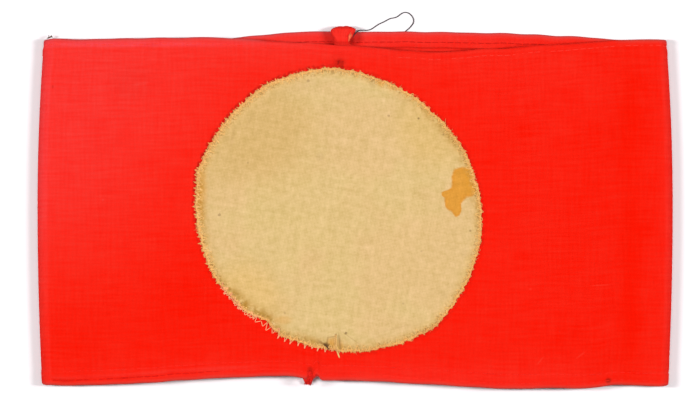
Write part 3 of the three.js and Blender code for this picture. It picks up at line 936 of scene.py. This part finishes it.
# The sewn ends inside the back: a flat stack of two plies that stands up and rolls over where it shows
# at the upper mouth. Its section is a rounded box, grooved where the plies part, and lengthwise folds
# run over its upper end.
def makeSeam():
    low, high = seam["y"][0] - 0.4, seam["y"][-1] + 0.1
    share = np.linspace(0, 1, seam["rows"])
    y = low + (high - low) * (share - 0.135 * np.sin(2 * np.pi * share))[:, None]
    middleX, width, base, top = (through(y, seam["y"], seam[key]) for key in ("x", "width", "base", "top"))
    closing = np.sqrt(np.clip((high - y) / 0.9, 0, 1)) * np.sqrt(np.clip((y - low) / 0.9, 0, 1))
    angle = -np.arange(seam["sides"])[None] * 2 * np.pi / seam["sides"]
    squareness = 2 / 3        # 1 would make the section an oval
    boxX = np.sign(np.cos(angle)) * np.abs(np.cos(angle)) ** squareness
    boxZ = np.sign(np.sin(angle)) * np.abs(np.sin(angle)) ** squareness
    bunched = ease(y, 51.5, 54.0)
    crease = 0.75 * bell(boxX - 0.42, 0.10) + 0.35 * bell(boxX + 0.18 + 0.04 * (y - 54), 0.16)
    folds = 0.10 * ripples(boxX * 4, 0.25 * y, 3.4, 41) - crease
    ply = 0.28 * bell(boxZ - 0.05, 0.22) * np.sign(boxX) * (np.abs(boxX) > 0.9)
    x = middleX + (width / 2) * boxX * (0.6 + 0.4 * closing) - ply + bunched * 0.12 * np.sin(y * 1.9 + boxZ)
    z = (base + top) / 2 + (top - base) / 2 * boxZ * closing
    z = z + bunched * folds * (boxZ > 0) * closing * boxZ - bunched * 0.5 * boxX * (boxZ > 0) * boxZ
    humps = 0.05 * np.tanh((boxX + 0.05) / 0.15) - 0.14 * bell(boxX + 0.05, 0.2)
    corners = -0.14 * ease(-boxX, 0.3, 1.0) - 0.22 * ease(boxX, 0.5, 1.0)
    endWave = ease(y, 55.5, 57.6) * (humps + corners)
    points = np.stack(np.broadcast_arrays(x, y + endWave, z), -1)
    u = np.broadcast_to(y, (seam["rows"], seam["sides"] + 1))
    v = np.broadcast_to(np.arange(seam["sides"] + 1) * 0.5, u.shape)
    fadeAndFoldLight = np.full((1, *points.shape[:2]), seam["fadeAndFoldLight"])
    return closedMesh("seamEnds", points[None], cloth=np.stack([u, v], -1)[None], layers={"fadeAndFoldLight": fadeAndFoldLight})


seamEnds = wear(makeSeam(), redCottonSeamLit, "seam_cloth", "seam_allowance")


# The round patch

# Its small relief: slack, and puckers that run in from the stitches round its rim
def patchRelief(x, y, inside, around):
    slack = 0.13 * ripples(x, y, 19, 51) + 0.05 * ripples(x, y, 6.5, 52)
    puckers = 0.15 * ripples(around, inside * 0.35, 5.2, 53) * bell(inside - 1.8, 4.2)
    drawn = -0.20 * bell(inside - 2.0, 1.0)
    return (slack + puckers + drawn) * ease(inside, 0, 1.2) + pleatAt(x, y) * ease(inside, -0.2, 0.8)


# Two small pleats (both ends, half width, height) and a bump, caught under the stitches at the lower rim
pleats = [((-5.1, -47.4), (-6.0, -40.4), 0.75, 0.85), ((-10.9, -41.9), (-6.9, -45.3), 0.6, 0.5)]
bump = {"place": (-7.3, -42.7), "reach": 1.9, "height": 0.55}


def pleatAt(x, y):
    height = bump["height"] * bell(np.hypot(x - bump["place"][0], y - bump["place"][1]), bump["reach"])
    for (x0, y0), (x1, y1), halfWidth, rise in pleats:
        length = math.hypot(x1 - x0, y1 - y0)
        along = ((x - x0) * (x1 - x0) + (y - y0) * (y1 - y0)) / length
        aside = ((y - y0) * (x1 - x0) - (x - x0) * (y1 - y0)) / length
        rounded = ease(along, -0.8, 0.8) * (1 - ease(along, length - 1.2, length + 0.8))
        valley = 0.35 * bell(aside + 1.7, 0.6)
        height = height + (rise * bell(aside, halfWidth) - valley) * rounded
    return height


def patchTop(x, y):
    away, angle = polar(x, y)
    inside = patchRadiusAt(angle) - away
    relief = patchRelief(x, y, inside, angle * patchShape["radius"])
    thick = patchShape["thick"] * (0.55 + 0.45 * ease(inside, 0.0, 2.2))
    return frontHeight(x, y) + patchShape["lift"] + thick + relief


# Height of the cloth that a thread lies on: the front's at a share of 0, and the patch's at 1
def clothHeight(x, y, patchShare):
    ground = frontHeight(x, y)
    return ground + (patchTop(x, y) - ground) * patchShare


# Where the rim is dirtiest: direction and reach in degrees, amount
grimeAreas = [(178, 18, 0.6), (226, 14, 0.95), (262, 16, 0.55), (36, 20, 0.4), (8, 14, 0.4), (300, 20, 0.12)]


# A disc: rows run from the middle of the upper face out to the rim, round its edge and back in under it
def makePatch():
    angle = np.arange(patchShape["sectors"]) * 2 * np.pi / patchShape["sectors"]
    radius = patchRadiusAt(angle)
    inset = patchShape["radius"] * (1 - np.linspace(0.0, 1, patchShape["faceRows"] + 1)[:-1])
    upper = np.concatenate([inset[inset > 0.9], [0.7, 0.45, 0.22]])
    lower = upper[::-1][::2]
    step = np.linspace(0, np.pi, patchShape["edgeRows"] + 2)[1:-1]
    inset = np.concatenate([upper, 0.2 * (1 - np.sin(step)), lower])[:, None]
    level = np.concatenate([np.ones(len(upper)), 0.5 + 0.5 * np.cos(step), np.zeros(len(lower))])[:, None]
    shaped = patchShape["shapedRim"]
    outOfRound = (radius - radius.mean()) * (1 - (inset - shaped) / patchShape["radius"])
    away = np.where(inset > shaped, radius.mean() - inset + outOfRound, radius - inset)
    away = np.maximum(away, 0.3)
    x, y = planar(away, angle)
    under = frontHeight(x, y) + patchShape["lift"]
    z = under + (patchTop(x, y) - under) * level
    inside = radius - away
    dirt = np.full(len(angle), 0.08)
    for direction, reach, amount in grimeAreas:
        dirt = dirt + amount * bellRound(np.degrees(angle), direction, reach)
    grime = np.clip(dirt * bell(inside - 1.5, 1.7) + 0.30 * bell(inside - 0.9, 0.9) + 0.02, 0, 1)
    points = np.stack([x, y, z], -1)
    return closedMesh("patchCloth", points[None], layers={"rimDistance": inside[None], "grime": grime[None]})


patchCloth = wear(makePatch(), creamCotton, "patch_cloth", "round_patch")


# Stitches

zigzag = {
    "count": 125,                     # stitches round the patch
    "radius": 0.11, "hiddenRadius": 0.10,
    "reachIn": 1.8, "reachOut": 0.42,
    "openFrom": 211, "openTo": 244,   # degrees between which the teeth stand out past the rim
    "openReach": 1.45,
    "widest": (236.5, 4.5, 0.9),      # direction, reach in degrees and more reach of the widest teeth
    "doubled": (213, 233, 31),        # degrees from and to, and corners, where it was sewn over twice
    "ticks": (244.5, 2.9, 9),         # narrow teeth: degrees of the first, degrees between, number
    "points": 10,
}


# Threads from corner to corner of a zigzag round the patch's rim: each leg runs straight from a hole in
# the red cloth to one in the cream cloth, lies on the cloth that is under it, and dips at both holes
def zigzagLegs(corners, rimOut, rimIn):
    share = np.linspace(0, 1, zigzag["points"])[None]
    turn = corners[:-1, None] + (corners[1:] - corners[:-1])[:, None] * share
    outward = np.arange(len(corners)) % 2 == 0
    away = np.where(outward, rimOut, -rimIn)
    gone = away[:-1, None] + (away[1:] - away[:-1])[:, None] * share
    return overRim(turn, gone, share)


# Thread paths at a direction and a distance outside the rim
def overRim(turn, gone, share):
    x, y = planar(patchRadiusAt(turn) + gone, turn)
    onPatch = ease(-gone, -0.35, 0.30)
    holes = 0.26 * (bell(share, 0.10) + bell(1 - share, 0.10))
    lift = zigzag["radius"] * (0.85 - 0.45 * onPatch) - holes + 0.05 * np.sin(np.pi * share)
    return np.stack([x, y, clothHeight(x, y, onPatch) + lift], -1)


def makeZigzag():
    dice = np.random.default_rng(61)
    count = 2 * zigzag["count"]
    corners = np.arange(count + 1) * 2 * np.pi / count
    corners[:-1] += dice.uniform(-0.34, 0.34, count) * 2 * np.pi / count
    corners[-1] = corners[0] + 2 * np.pi
    degrees = np.degrees(corners) % 360
    opened = ease(degrees, zigzag["openFrom"], zigzag["openFrom"] + 6)
    opened = opened * (1 - ease(degrees, zigzag["openTo"] - 6, zigzag["openTo"] + 2))
    direction, spread, more = zigzag["widest"]
    wide = bell(degrees - direction, spread)
    rimOut = zigzag["reachOut"] + (zigzag["openReach"] - zigzag["reachOut"]) * opened + more * wide
    rimOut = rimOut + dice.uniform(-0.38, 0.30, len(corners)) * (1 - 0.4 * opened)
    rimIn = zigzag["reachIn"] - 0.9 * opened - 1.5 * wide + dice.uniform(-0.4, 0.4, len(corners))
    rimOut[-1], rimIn[-1] = rimOut[0], rimIn[0]
    paths = zigzagLegs(corners, rimOut, rimIn)
    start, stop, count = zigzag["doubled"]
    doubled = np.radians(np.linspace(start, stop, count)) + dice.uniform(-0.005, 0.005, count)
    second = zigzagLegs(doubled, dice.uniform(0.3, 1.3, count), dice.uniform(0.0, 1.2, count))
    third = zigzagLegs(doubled[::-1] + 0.012, dice.uniform(0.1, 0.9, count), dice.uniform(0.3, 1.7, count))
    inOpening = (degrees[:-1] > zigzag["openFrom"]) & (degrees[:-1] < zigzag["openTo"])
    start, pitch, count = zigzag["ticks"]
    ticks = np.radians(start + pitch * np.arange(count) + dice.uniform(-0.3, 0.3, count))[:, None]
    share = np.linspace(0, 1, zigzag["points"])[None]
    there = 2 * share - 1
    aside = (0.45 + dice.uniform(-0.1, 0.1, (count, 1))) * there * np.abs(there) ** 0.4
    lean = dice.uniform(-0.5, 0.1, (count, 1)) * (1 - np.abs(there))
    reach = np.linspace(1.6, 0.9, count)[:, None] + dice.uniform(-0.2, 0.3, (count, 1))
    turn = ticks + (aside + lean) / patchShape["radius"]
    ticks = overRim(turn, -0.6 + (reach + 0.6) * (1 - np.abs(there)), share)
    shown = np.concatenate([paths[inOpening], second, ticks])
    hidden = np.concatenate([paths[~inOpening], third])
    openStitches = threads("openStitches", shown, zigzag["radius"])
    return openStitches, threads("patchStitches", hidden, zigzag["hiddenRadius"])


openStitches, patchStitches = makeZigzag()
wear(openStitches, paleThread, "patch_cloth")
wear(patchStitches, clothThread, "patch_cloth")

whip = {"count": 155, "from": 104, "to": 204, "radius": 0.11, "slant": 1.2}   # from and to in degrees


# Short slanting stitches that were sewn by hand over the left part of the rim
def makeWhipStitches():
    dice = np.random.default_rng(66)
    count = whip["count"]
    start = np.linspace(whip["from"], whip["to"], count) + dice.uniform(-0.35, 0.35, count)
    start = np.radians(start)[:, None]
    share = np.linspace(0, 1, zigzag["points"])[None]
    slant = (dice.normal(0, whip["slant"], count) / patchShape["radius"])[:, None]
    outer = dice.uniform(-0.1, 0.8, count)[:, None]
    inner = dice.uniform(0.7, 2.6, count)[:, None]
    bow = dice.normal(0, 0.004, count)[:, None] * np.sin(np.pi * share)
    path = overRim(start + slant * share + bow, outer - (outer + inner) * share, share)
    return threads("whipStitches", path, whip["radius"])


whipStitches = wear(makeWhipStitches(), creamThread, "patch_cloth")

stretch = {"count": 150, "shortest": 0.8, "longest": 2.6, "inset": 0.22, "radius": 0.10}


# Stretches of thread that lie along the cut rim
def makeRimThread():
    dice = np.random.default_rng(68)
    count = stretch["count"]
    share = np.linspace(0, 1, 8)[None]
    start = (np.arange(count) * 2 * np.pi / count + dice.uniform(-0.01, 0.01, count))[:, None]
    length = dice.uniform(stretch["shortest"], stretch["longest"], (count, 1)) / patchShape["radius"]
    gone = -stretch["inset"] + dice.uniform(-0.16, 0.24, (count, 1)) + 0.14 * np.sin(6 * share + start * 40)
    return threads("rimThread", overRim(start + length * share, gone, share), stretch["radius"])


rimThread = wear(makeRimThread(), rimFibre, "patch_cloth")


# Straight stitches along a hem's sewing line, sunk in the outer face (1) or the inner one (-1): each is
# a short arc whose ends dip into the cloth. kept says by turn and x which of the row's stitches exist.
def makeHemStitches(name, line, face, sunk, radius, kept=None, uneven=0.1):
    share = np.linspace(0, 1, 5)[None]
    length = 0.86 * band["stitchPitch"]
    count = int(legEnds[-1] / band["stitchPitch"])
    start = (np.arange(count) * legEnds[-1] / count)[:, None]
    around = (start + length * share) % legEnds[-1]
    turn = np.interp(around, legEnds, range(5))
    end, inward = ("Top", -1) if line == "Top" else ("Bottom", 1)
    y = edgeAt(turn, end) + inward * sewingAt(turn, line)
    arch = 0.06 * np.sin(np.pi * share)
    depth = sunk - arch - 0.03 if face > 0 else band["hemCloth"] - sunk + arch + 0.03
    path = wallAt(turn, y, depth + 0 * around)
    jump = np.linalg.norm(np.diff(path, axis=1), axis=-1).max(1) > length
    wanted = ~jump if kept is None else ~jump & kept(turn[:, 0], path[:, 0, 0])
    path = path[wanted]
    width = radius * (1 + uneven * np.random.default_rng(24).uniform(-1, 1, (len(path), 1)))
    return threads(name, path, width, sides=5, up=(0.0, 1.0, 0.0))


# The lower hem's second row of stitches, on the front; it is soiled on the left
def isSoiled(turn, x):
    return (np.floor(turn) == 2) & (x < sewing["soiledTo"])


def isClean(turn, x):
    return (np.floor(turn) == 2) & (x >= sewing["soiledTo"])


# The upper hem's stitches, which are faded except over the middle of the front
def isFaded(turn, x):
    return (np.floor(turn) != 2) | (x < sewing["unfaded"][0]) | (x > sewing["unfaded"][1])


def isUnfaded(turn, x):
    return ~isFaded(turn, x)


# The rows: name, sewing line, face, how deep it is sunk, radius, thread, stitches kept, their unevenness
hemRows = [
    ("topStitches", "Top", 1, 0.16, 0.13, fadedThread, isFaded, 0.1),
    ("middleStitches", "Top", 1, 0.16, 0.12, redThread, isUnfaded, 0.1),
    ("bottomStitches", "Bottom", 1, 0.12, 0.12, redThread, None, 0.1),
    ("againStitches", "Again", 1, 0.07, 0.12, redThread, isClean, 0.1),
    ("soiledStitches", "Again", 1, 0.16, 0.20, soiledThread, isSoiled, 0.5),
    ("innerTopStitches", "Top", -1, 0.22, 0.14, foldThread, None, 0.1),
    ("innerBottomStitches", "Bottom", -1, 0.24, 0.12, redThread, None, 0.1),
]
hemStitches = [
    wear(makeHemStitches(name, line, face, sunk, radius, kept, uneven), thread, "band_cloth")
    for name, line, face, sunk, radius, thread, kept, uneven in hemRows
]


seamSewing = {"from": -53.0, "to": 54.0, "pitch": 2.6, "length": 2.2, "height": 0.36, "radius": 0.13}


# The stitches of the seam, seen on the outside of the back, where its two sides are pulled together
def makeSeamStitches():
    share = np.linspace(0, 1, 5)[None]
    start = np.arange(seamSewing["from"], seamSewing["to"], seamSewing["pitch"])[:, None]
    y = start + seamSewing["length"] * share
    z = seamSewing["height"] - 0.05 * np.sin(np.pi * share) + 0 * y
    return threads("seamStitches", np.stack([seamLineX(y), y, z], -1), seamSewing["radius"], sides=5)


seamStitches = wear(makeSeamStitches(), redThread, "band_cloth")


# Frays and loose threads

# Curling fibres that start at points and run off in given directions: each bends sideways by a random
# amount as the square of its length, and droops or lifts the same way
def curls(start, direction, length, curl, lift, points, seed):
    dice = np.random.default_rng(seed)
    share = np.linspace(0, 1, points)[None, :, None]
    direction = direction / np.linalg.norm(direction, axis=-1, keepdims=True)
    aside = np.stack([-direction[:, 1], direction[:, 0], 0 * direction[:, 0]], -1)
    bend = dice.normal(0, curl, len(start))[:, None, None]
    swing = dice.normal(0, curl * 0.5, len(start))[:, None, None]
    path = start[:, None] + direction[:, None] * length[:, None, None] * share
    sideways = bend * share ** 2 + swing * np.sin(3.6 * share) * share
    path = path + aside[:, None] * length[:, None, None] * sideways
    path[..., 2] += lift[:, None] * share[..., 0] ** 2
    return path


teeth = {
    "count": 230, "fibres": 4, "radius": 0.11, "shortest": 0.46, "longest": 0.92,
    "longFrom": 118, "longTo": 205,   # degrees between which they are longest
    "smooth": (55, 34, 0.6),          # direction, reach in degrees and share lost where the rim is smooth
}


# Small pointed tufts where the stitches bundle the cut rim's threads; they are longest on its upper left
def makeTeeth():
    dice = np.random.default_rng(76)
    count = teeth["count"]
    angle = (np.arange(count) + dice.uniform(-0.35, 0.35, count)) * 2 * np.pi / count
    degrees = np.degrees(angle) % 360
    long = ease(degrees, teeth["longFrom"] - 20, teeth["longFrom"] + 10)
    long = long * (1 - ease(degrees, teeth["longTo"] - 10, teeth["longTo"] + 10))
    reach = teeth["shortest"] + (teeth["longest"] - teeth["shortest"]) * long
    smooth, smoothReach, lost = teeth["smooth"]
    reach = reach * (1 - lost * bell(degrees - smooth, smoothReach))
    reach = (reach * dice.uniform(0.35, 1.35, count))[:, None, None]
    share = np.linspace(0, 1, 5)
    fan = np.linspace(-0.38, 0.38, teeth["fibres"])[None, :, None]
    aside = fan + dice.normal(0, 0.06, (count, teeth["fibres"], 1))
    lean = (dice.normal(0, 0.22, count) - 0.20 * long)[:, None, None]
    around = aside * (1 - share) ** 0.8 + lean * share ** 1.5
    turn = angle[:, None, None] + around / patchShape["radius"]
    gone = -0.9 + (0.9 + reach) * share
    x, y = planar(patchRadiusAt(turn) + gone, turn)
    level = clothHeight(x, y, ease(-gone, -0.5, 0.4))
    path = np.stack([x, y, level + 0.10 - 0.05 * share], -1).reshape(-1, 5, 3)
    return threads("rimTeeth", path, teeth["radius"] * np.linspace(1.0, 0.45, 5)[None], sides=4)


rimTeeth = wear(makeTeeth(), rimFibre, "patch_cloth")

fringe = {"count": 480, "shortest": 0.3, "longest": 1.1, "radius": 0.06}


# Short fibres off the cut rim of the patch; they lie over the red cloth and end close above it
def makeFringe():
    dice = np.random.default_rng(71)
    count = fringe["count"]
    angle = dice.uniform(0, 2 * np.pi, count)
    circle = np.cos(angle) * patchShape["radius"], np.sin(angle) * patchShape["radius"]
    clump = 0.5 + 0.5 * np.clip(ripples(*circle, 6.0, 72), -1, 1)
    length = fringe["shortest"] + (fringe["longest"] - fringe["shortest"]) * dice.uniform(0, 1, count) ** 2
    length = length * (0.55 + 0.75 * clump)
    x, y = planar(patchRadiusAt(angle) - dice.uniform(0.1, 0.5, count), angle)
    z = frontHeight(x, y) + patchShape["lift"] + dice.uniform(0.15, 0.42, count)
    heading = angle + dice.normal(0, 0.6, count)
    direction = np.stack([np.cos(heading), np.sin(heading), 0 * heading], -1)
    path = curls(np.stack([x, y, z], -1), direction, length, 0.55, 0 * length, 5, 73)
    share = np.linspace(0, 1, 5)[None]
    ground = frontHeight(path[..., 0], path[..., 1])
    above = z[:, None] * (1 - share) + (ground + dice.uniform(0.06, 0.3, count)[:, None]) * share
    path[..., 2] = np.maximum(above, ground + 0.05)
    return threads("patchFringe", path, fringe["radius"], sides=4)


patchFringe = wear(makeFringe(), fringeFibre, "patch_cloth")


# Places and lengths in mm, each pair from and to; the tips are the left one's and the right one's
tuft = {
    "strands": 40, "rootX": (-15.0, -13.9), "rootY": (-52.6, -51.6),
    "tipX": (-15.7, -14.4), "tipY": (-56.1, -56.5), "radius": 0.115,
    "fuzz": 16, "fuzzX": (-13.5, -11.6), "fuzzY": (-53.4, -52.6),
    "fuzzLength": (0.3, 1.0), "fuzzRadius": 0.06,
}


# A tuft of red ends over the lower hem: they rise from one hole, bow to the right and hang down past
# the edge in two tips; finer ones stand out beside it, at the frayed notch
def makeTuft():
    dice = np.random.default_rng(81)
    count, fuzz = tuft["strands"], tuft["fuzz"]
    share = np.linspace(0, 1, 10)[None]
    leftTip = np.arange(count) % 2 == 0
    startX, startY = dice.uniform(*tuft["rootX"], (count, 1)), dice.uniform(*tuft["rootY"], (count, 1))
    endX = np.where(leftTip, *tuft["tipX"])[:, None] + dice.normal(0, 0.18, (count, 1))
    endY = np.where(leftTip, *tuft["tipY"])[:, None] + dice.normal(0, 0.28, (count, 1))
    bow = dice.uniform(0.1, 0.95, (count, 1))
    x = startX + (endX - startX) * share + bow * np.sin(np.pi * share ** 0.9)
    y = startY + (endY - startY) * share
    drop = 2.6 * ease(-y, 54.5, 57.0)
    z = frontHeight(x, y) + 0.12 + dice.uniform(0.0, 0.75, (count, 1)) * np.sin(np.pi * share) ** 0.7 - drop
    main = np.stack([x, y, z], -1)
    startX, startY = dice.uniform(*tuft["fuzzX"], (fuzz, 1)), dice.uniform(*tuft["fuzzY"], (fuzz, 1))
    lean = dice.normal(0.2, 0.5, (fuzz, 1))
    length = dice.uniform(*tuft["fuzzLength"], (fuzz, 1))
    x = startX + lean * length * share + dice.normal(0, 0.15, (fuzz, 1)) * np.sin(5 * share)
    y = startY - length * share
    z = frontHeight(x, y) + 0.08 - 1.2 * ease(-y, 53.8, 55.6)
    side = np.stack([x, y, z], -1)
    paths = np.concatenate([main, side])
    width = np.concatenate([np.full(count, tuft["radius"]), np.full(fuzz, tuft["fuzzRadius"])])
    taper = np.linspace(1.0, 0.55, 10)
    return threads("redTuft", paths, width[:, None] * taper, sides=5, up=(0.3, 0.2, 1.0))


redTuft = wear(makeTuft(), redFray, "seam_cloth")


# Raw red ends: the box that they start in, their way along y, the mean and the spread of their way
# along x and z, and their length, curl and lift
frays = [
    {   # below the tuft
        "count": 22, "from": (-15.9, -54.8, 1.6), "to": (-14.5, -53.6, 2.6), "radius": 0.12, "seed": 83,
        "ahead": -1, "aside": ((0.05, 0.2), (-0.06, 0.08)),
        "length": (1.4, 2.6), "curl": 0.25, "lift": (-0.7, 0.2),
    },
    {   # round the bunched seam at the upper mouth
        "count": 9, "from": (-7.0, 56.4, 2.8), "to": (-0.6, 57.2, 4.4), "radius": 0.05, "seed": 84,
        "ahead": 1, "aside": ((0, 1.0), (0, 0.3)),
        "length": (0.3, 0.8), "curl": 0.8, "lift": (-0.3, 0.1),
    },
]


def makeFrays():
    dice = np.random.default_rng(82)
    paths, widths = [], []
    for ends in frays:
        count = ends["count"]
        start = np.stack([dice.uniform(low, high, count) for low, high in zip(ends["from"], ends["to"])], -1)
        aimX, aimZ = (dice.normal(mean, spread, count) for mean, spread in ends["aside"])
        aim = np.stack([aimX, np.full(count, ends["ahead"]), aimZ], -1)
        length, lift = dice.uniform(*ends["length"], count), dice.uniform(*ends["lift"], count)
        paths.append(curls(start, aim, length, ends["curl"], lift, 7, ends["seed"]))
        widths.append(np.full(count, ends["radius"]))
    paths, width = np.concatenate(paths), np.concatenate(widths)
    paths[..., 2] = np.maximum(paths[..., 2], 0.10)
    return threads("redFrays", paths, width[:, None] * np.linspace(1.0, 0.5, 7), sides=5, up=(0.3, 0.2, 1.0))


redFrays = wear(makeFrays(), redFray, "seam_cloth")


# Height of the bunched seam's upper side
def seamTop(x, y):
    middleX, width, base, top = (through(y, seam["y"], seam[key]) for key in ("x", "width", "base", "top"))
    aside = (x - middleX) / (width / 2)
    rounded = (1 - np.clip(np.abs(aside), 0, 0.98) ** 3) ** (1 / 3)
    return (base + top) / 2 + (top - base) / 2 * rounded - 0.5 * aside


paleTuft = {"count": 22, "x": (-2.2, -1.5), "y": (52.2, 53.2), "length": (0.9, 2.5), "radius": 0.085}


# Pale raw ends in the fold at the bunched seam's right side
def makePaleEnds():
    dice = np.random.default_rng(91)
    size = (paleTuft["count"], 1)
    share = np.linspace(0, 1, 7)[None]
    startX, startY = dice.uniform(*paleTuft["x"], size), dice.uniform(*paleTuft["y"], size)
    length = dice.uniform(*paleTuft["length"], size)
    x = startX + dice.normal(0.12, 0.12, size) * length * share + 0.06 * np.sin(4 * share + startX * 9)
    y = startY + length * share
    z = seamTop(x, y) + 0.02 + dice.uniform(0.0, 0.25, size) * np.sin(np.pi * share)
    return threads("paleEnds", np.stack([x, y, z], -1), paleTuft["radius"], sides=5)


paleEnds = wear(makePaleEnds(), ochreFibre, "seam_cloth")


# One loose dark thread: out of the seam's right side, over the back's upper edge, in a bow on the table
looseThread = {
    "points": [   # x, y, z in mm
        (-0.85, 53.6, 5.6), (-0.55, 54.5, 5.4), (0.0, 55.2, 3.9), (0.55, 55.75, 2.2),
        (1.0, 56.2, 0.8), (1.6, 56.4, 0.25), (2.9, 56.36, 0.19), (4.2, 56.36, 0.19),
        (5.4, 56.81, 0.19), (7.4, 58.3, 0.19), (9.15, 59.0, 0.19), (11.1, 60.15, 0.19),
        (12.3, 60.3, 0.19), (13.4, 60.6, 0.19), (14.8, 61.75, 0.19), (16.0, 62.2, 0.19),
        (17.4, 61.75, 0.19), (18.65, 60.3, 0.19), (18.7, 58.75, 0.19), (17.7, 57.45, 0.19),
        (16.7, 56.5, 0.19), (15.9, 55.9, 0.19),
    ],
    "radius": 0.165,
}


def looseThreadMaterial():
    material, tree = newMaterial("looseThreadCotton")
    fine = noiseAt(tree, placeIn(tree), 3.5, 2.0, 0.6)
    colour = blendColours(tree, fine, (0.010, 0.007, 0.007, 1), (0.045, 0.034, 0.034, 1))
    finishMaterial(tree, colour, fine, 0.04, 0.75, Specular_IOR_Level=0.2)
    return material


def makeLooseThread():
    curve = bpy.data.curves.new("looseThread", "CURVE")
    curve.dimensions = "3D"
    curve.bevel_depth = looseThread["radius"] * mm
    curve.bevel_resolution = 2
    curve.use_fill_caps = True
    curve.resolution_u = 6
    spline = curve.splines.new("NURBS")
    spline.points.add(len(looseThread["points"]) - 1)
    flat = [value for x, y, z in looseThread["points"] for value in (x * mm, y * mm, z * mm, 1.0)]
    spline.points.foreach_set("co", flat)
    spline.order_u = 3
    spline.use_endpoint_u = True
    spline.use_smooth = True
    piece = bpy.data.objects.new("looseThread", curve)
    bpy.context.scene.collection.objects.link(piece)
    curve.materials.append(looseThreadMaterial())
    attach(piece, "root")
    return piece


darkBow = makeLooseThread()


# Caught bits of thread: x, y, z (None lies on the front), heading, length and curl, in mm and radians
darkBits = [   # at the upper left corner, and under the pleats
    (-98.3, 53.5, 2.6, 0.65, 1.9, -0.5), (-98.0, 53.6, 2.4, 0.45, 1.7, 0.4),
    (-97.5, 53.7, 2.6, 0.7, 1.3, -0.8), (-97.8, 53.5, 2.8, 0.9, 1.2, 0.9),
    (-9.5, -44.3, 9.5, 0.3, 1.5, -1.5), (-8.7, -44.9, 9.3, 0.9, 1.2, 2.0),
    (-9.2, -43.9, 9.6, -0.6, 1.3, -1.0),
]
soiledBits = [   # above the patch, and in the fold of the bunched seam
    (-5.6, 46.4, None, -0.7, 1.4, -1.8), (-4.9, 46.0, None, -0.3, 1.2, 0.9),
    (-4.7, 46.2, None, 2.4, 0.8, 2.0), (-4.3, 44.6, None, -0.8, 0.8, 1.0),
    (-1.25, 52.4, 6.0, 1.45, 1.5, 0.5), (-1.1, 52.6, 5.9, 1.7, 1.3, -0.8),
    (-1.45, 52.9, 6.2, 1.1, 1.0, 1.4),
]


def makeBits(name, bits):
    share = np.linspace(0, 1, 12)
    paths = []
    for x, y, z, heading, length, curl in bits:
        turn = heading + curl * share
        step = length / (len(share) - 1)
        pathX, pathY = x + np.cumsum(np.cos(turn)) * step, y + np.cumsum(np.sin(turn)) * step
        ground = frontHeight(pathX, pathY) if z is None else z
        paths.append(np.stack([pathX, pathY, ground + 0.10 + 0.10 * np.sin(share * 5.0)], -1))
    return threads(name, np.array(paths), 0.13, sides=5)


caughtBits = [
    wear(makeBits("darkBits", darkBits), darkThread, "seam_cloth"),
    wear(makeBits("soiledBits", soiledBits), soilFibre, "band_cloth"),
]


# A cream thread that loops loosely over the pleat
def makeLooseStitch():
    share = np.linspace(0, 1, 14)[None]
    offset = np.array([[-0.16], [0.14]])
    x = -6.1 + 1.15 * share + offset * (1 + 0.5 * np.sin(5 * share)) - 0.5 * np.sin(np.pi * share)
    y = -40.2 - 7.6 * share + 0.4 * offset
    away, angle = polar(x, y)
    z = clothHeight(x, y, ease(patchRadiusAt(angle) - away, -0.5, 0.3)) + 0.10
    return threads("looseStitch", np.stack([x, y, z], -1), 0.15)


looseStitch = wear(makeLooseStitch(), creamThread, "patch_cloth")
print("threads made")


# Table and light

light = {
    "sky": 0.22,                    # brightness of the even light from all round
    "above": (0.0, 0.03, 0.95),     # place of the upper lamp in m
    "aboveSize": (0.5, 0.10), "abovePower": 1.82,
    "side": (0.60, 0.03, 0.82),     # place of the right lamp; the left one is its mirror image
    "sideSize": (0.10, 0.34), "sidePower": 7.5,
}


def makeTable():
    mesh = bpy.data.meshes.new("table")
    half = 3.0   # m
    corners = [(-half, -half, 0), (half, -half, 0), (half, half, 0), (-half, half, 0)]
    mesh.from_pydata(corners, [], [(0, 1, 2, 3)])
    table = bpy.data.objects.new("table", mesh)
    bpy.context.scene.collection.objects.link(table)
    material, tree = newMaterial("whitePaper")
    paper = put(tree, "BsdfPrincipled", {"Base Color": (0.700, 0.674, 0.690, 1), "Roughness": 0.9})
    paper.inputs["Specular IOR Level"].default_value = 0.1
    tree.links.new(paper.outputs[0], put(tree, "OutputMaterial").inputs[0])
    mesh.materials.append(material)


def makeLamp(name, x, y, z, size, power):
    lamp = bpy.data.lights.new(name, "AREA")
    lamp.shape = "ELLIPSE"
    lamp.size, lamp.size_y = size
    lamp.energy = power
    place = bpy.data.objects.new(name, lamp)
    place.location = (x, y, z)
    place.rotation_euler = (-place.location).to_track_quat("-Z", "Y").to_euler()
    place.visible_camera = False
    bpy.context.scene.collection.objects.link(place)


# Even light, and plain white where the camera looks past the table
def makeSky():
    world = bpy.data.worlds.new("studio")
    bpy.context.scene.world = world
    world.use_nodes = True
    tree = world.node_tree
    tree.nodes.clear()
    seen = put(tree, "LightPath").outputs["Is Camera Ray"]
    strength = calc(tree, "MULTIPLY_ADD", seen, 1.0 - light["sky"], light["sky"])
    sky = put(tree, "Background", {"Color": (1, 1, 1, 1), "Strength": strength})
    tree.links.new(sky.outputs[0], put(tree, "OutputWorld").inputs[0])


makeTable()
makeLamp("upperLight", *light["above"], light["aboveSize"], light["abovePower"])
sideX, sideY, sideZ = light["side"]
makeLamp("leftLight", -sideX, sideY, sideZ, light["sideSize"], light["sidePower"])
makeLamp("rightLight", sideX, sideY, sideZ, light["sideSize"], light["sidePower"])
makeSky()
bpy.context.scene.view_settings.view_transform = "Standard"
print("table and light made")
